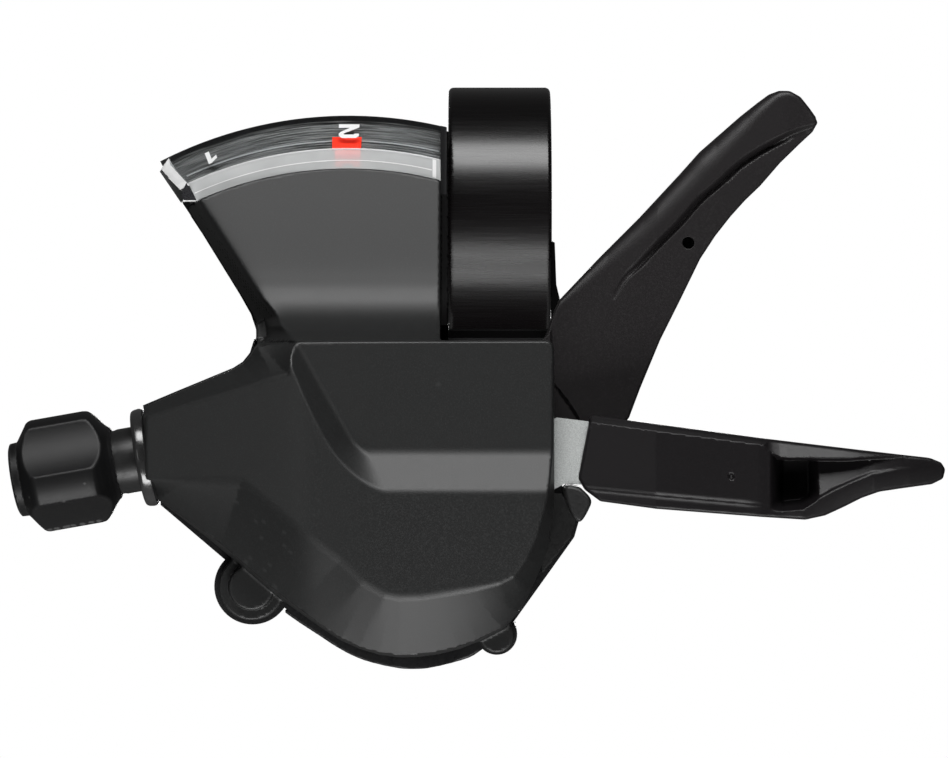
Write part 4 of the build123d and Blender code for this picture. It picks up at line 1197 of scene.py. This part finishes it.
TWO = [(0, 0), (2.3, 0), (2.3, .45), (1.05, .45), (2.1, .95), (2.3, 1.15), (2.3, 1.4),
       (1.95, 1.7), (.35, 1.7), (.0, 1.45), (.0, 1.15), (.5, 1.15), (.6, 1.27), (1.7, 1.27),
       (1.75, 1.15), (.0, .38)]
ONE = [(.75, 0), (1.25, 0), (1.25, 1.45), (.9, 1.45), (.1, 1.1), (.1, .72), (.75, .98)]

build_lens()
build_lens_end()
build_dial()
# painted lines, a pale and a grey one, stand in for the light and shade of moulded steps in the
# frosted band; then a painted pale edge at its cut end
lens_strip("lens_line_a", 41.62, 41.74, BAND_START, -7.7, 60, MAT["lens_end"])
lens_strip("lens_line_b", 42.86, 42.96, BAND_START, -7.7, 60, MAT["line"])
lens_strip("lens_edge", 40.9, 42.9, plane_angle(-7.62), -7.2, 3, MAT["lens_end"])
glyph("mark_two", TWO, (1.15, 0.85), degrees=0.10, radius=45.15)
glyph("mark_one", ONE, (0.8, 0.72), degrees=-20.3, radius=44.98, tilt=4.0)


# needle: dark arm under the fan face, red marker behind the lens
def needle_distance(x, y, z):
    across, up = x - DIAL[0], z - DIAL[1]
    radius = np.sqrt(across * across + up * up)
    width = np.abs(across)
    hub = overlap(radius - 2.0, slab(y, -13.4, -12.2))
    lower = overlap(width - 0.85, slab(up, 1.5, 17.2), slab(y, -13.2, -12.5))
    riser = overlap(width - 0.8, slab(up, 16.4, 17.2), slab(y, -17.15, -12.5))
    half_width = np.interp(up, [16.4, 20, 36, 40.6], [0.8, 0.45, 0.45, 0.6])
    upper = overlap(width - half_width, slab(up, 16.4, 41.3), slab(y, -17.15, -16.75))
    return overlap(union(hub, lower, riser, upper), 1.03 - radius) - 0.03


solid("needle_arm", needle_distance, (-19.6, -17.6, -39.2), (-14.8, -11.8, 5.2), 0.14,
      "needle", MAT["dial"], "gear_needle")
arc_strip("needle_tab",
          [(41.0, -17.15), (42.4, -17.0), (42.92, -16.55), (42.92, -16.3), (41.0, -16.8)],
          -1.95, 1.95, 10, MAT["red"], "needle")
arc_strip("needle_tip", [(42.92, -16.62), (44.52, -14.52), (44.2, -14.42), (42.92, -15.9)],
          -2.35, 1.95, 12, MAT["red"], "needle")

# dark wedge at the foot of the lens's left end, a painted pale line under it, and a cheek beside
plate("lens_notch", [(-35.32, 2.42), (-35.87, 1.32), (-35.7, 0.53), (-34.2, 0.53)],
      -18.2, -15.0, MAT["dial"])
plate("lens_foot", [(-35.68, 0.46), (-34.25, 0.46), (-34.25, 0.32), (-35.68, 0.32)],
      -18.3, -17.0, MAT["lens_end"])
plate("lens_cheek", [(-38.5, 3.8), (-38.35, 4.05), (-35.96, 1.57), (-35.75, 0.45),
                     (-36.15, 0.35)],
      -15.6, -13.5, MAT["cover"])

# =====================================================================
#  stage, lights, camera (metres)
# =====================================================================
AIM = Vector((-0.003, -0.02, -0.02))
KEY_FORWARD, KEY_RISE = -0.373, 0.495
FLOOR_Z, FLOOR_HALF = -0.80, 8.0


def build_world():
    """white to the camera; for light, dark on the camera's side and paler behind the part"""
    world = bpy.data.worlds.new("studio")
    bpy.context.scene.world = world
    tree = empty_tree(world)
    output = node(tree, "OutputWorld")
    seen = node(tree, "Background", {0: (1, 1, 1, 1), 1: 1.0})
    direction = node(tree, "SeparateXYZ", {0: node(tree, "TexCoord").outputs["Generated"]})
    depth = map_range(tree, direction.outputs["Y"], (-1.0, 1.0), (0.0, 1.0))
    greys = grey_ramp(tree, depth, [(0.0, 0.006), (0.45, 0.02), (1.0, 0.10)])
    lighting = node(tree, "Background", {0: greys, 1: 1.0})
    camera_ray = node(tree, "LightPath").outputs["Is Camera Ray"]
    mixed = node(tree, "MixShader", {0: camera_ray, 1: lighting.outputs[0], 2: seen.outputs[0]})
    tree.links.new(mixed.outputs[0], output.inputs[0])


def area_light(name, offset, width, height, power):
    """rectangular light at offset from the aim point, facing it"""
    light = bpy.data.lights.new(name, "AREA")
    light.shape = "RECTANGLE"
    light.size = width
    light.size_y = height
    light.energy = power
    light.color = (1, 1, 1)
    ob = bpy.data.objects.new(name, light)
    ob.location = AIM + Vector(offset)
    ob.rotation_mode = "QUATERNION"
    ob.rotation_quaternion = (AIM - (AIM + Vector(offset))).to_track_quat("-Z", "Y")
    bpy.context.scene.collection.objects.link(ob)
    return ob


def band_collection(name):
    collection = bpy.data.collections.new(name)
    collection.objects.link(bpy.data.objects["band_shell"])
    return collection


def build_lights():
    below = (0.0, KEY_FORWARD, -KEY_RISE)
    area_light("key_top", (0.0, KEY_FORWARD, KEY_RISE), width=0.60, height=0.26, power=4.9)
    area_light("key_low", below, width=0.44, height=0.24, power=3.4)
    area_light("fill_left", (-0.40, -0.50, 0.02), width=0.22, height=0.22, power=0.2)
    area_light("back_fill", (0.0, 0.70, 0.0), width=0.16, height=0.16, power=1.2)
    # the body stands between the low light and the clamp band, so the band has its own
    band_light = area_light("band_low", below, width=0.60, height=0.15, power=10.5)
    band_light.light_linking.receiver_collection = band_collection("band_only")
    band_light.light_linking.blocker_collection = band_collection("band_blockers")


def build_floor():
    """pale floor well below the part and its lights, white to the camera"""
    material = bpy.data.materials.new("m_floor")
    tree = empty_tree(material)
    output = node(tree, "OutputMaterial")
    pale = node(tree, "BsdfDiffuse", {0: (0.85, 0.85, 0.85, 1)})
    white = node(tree, "Emission", {0: (1, 1, 1, 1)})
    camera_ray = node(tree, "LightPath").outputs["Is Camera Ray"]
    mixed = node(tree, "MixShader", {0: camera_ray, 1: pale.outputs[0], 2: white.outputs[0]})
    tree.links.new(mixed.outputs[0], output.inputs[0])
    mesh = bpy.data.meshes.new("floor")
    corners = [(-1, -1), (1, -1), (1, 1), (-1, 1)]
    mesh.from_pydata([(x * FLOOR_HALF, y * FLOOR_HALF, FLOOR_Z) for x, y in corners],
                     [], [(0, 1, 2, 3)])
    floor = linked_object("floor", mesh)
    floor.data.materials.append(material)


def build_camera():
    """long lens, level and square to the front"""
    camera = bpy.data.cameras.new("camera")
    camera.sensor_width = 36.0
    camera.lens = 155.8481013
    camera.clip_start, camera.clip_end = 0.01, 50
    ob = linked_object("camera", camera)
    ob.location = (-0.00295, -0.480, -0.01965)
    ob.rotation_euler = (math.radians(90), 0, 0)
    bpy.context.scene.camera = ob


build_world()
build_lights()
build_floor()
build_camera()
view = bpy.context.scene.view_settings
view.view_transform = "Standard"
view.look = "None"
view.exposure = 0.0
view.gamma = 1.0
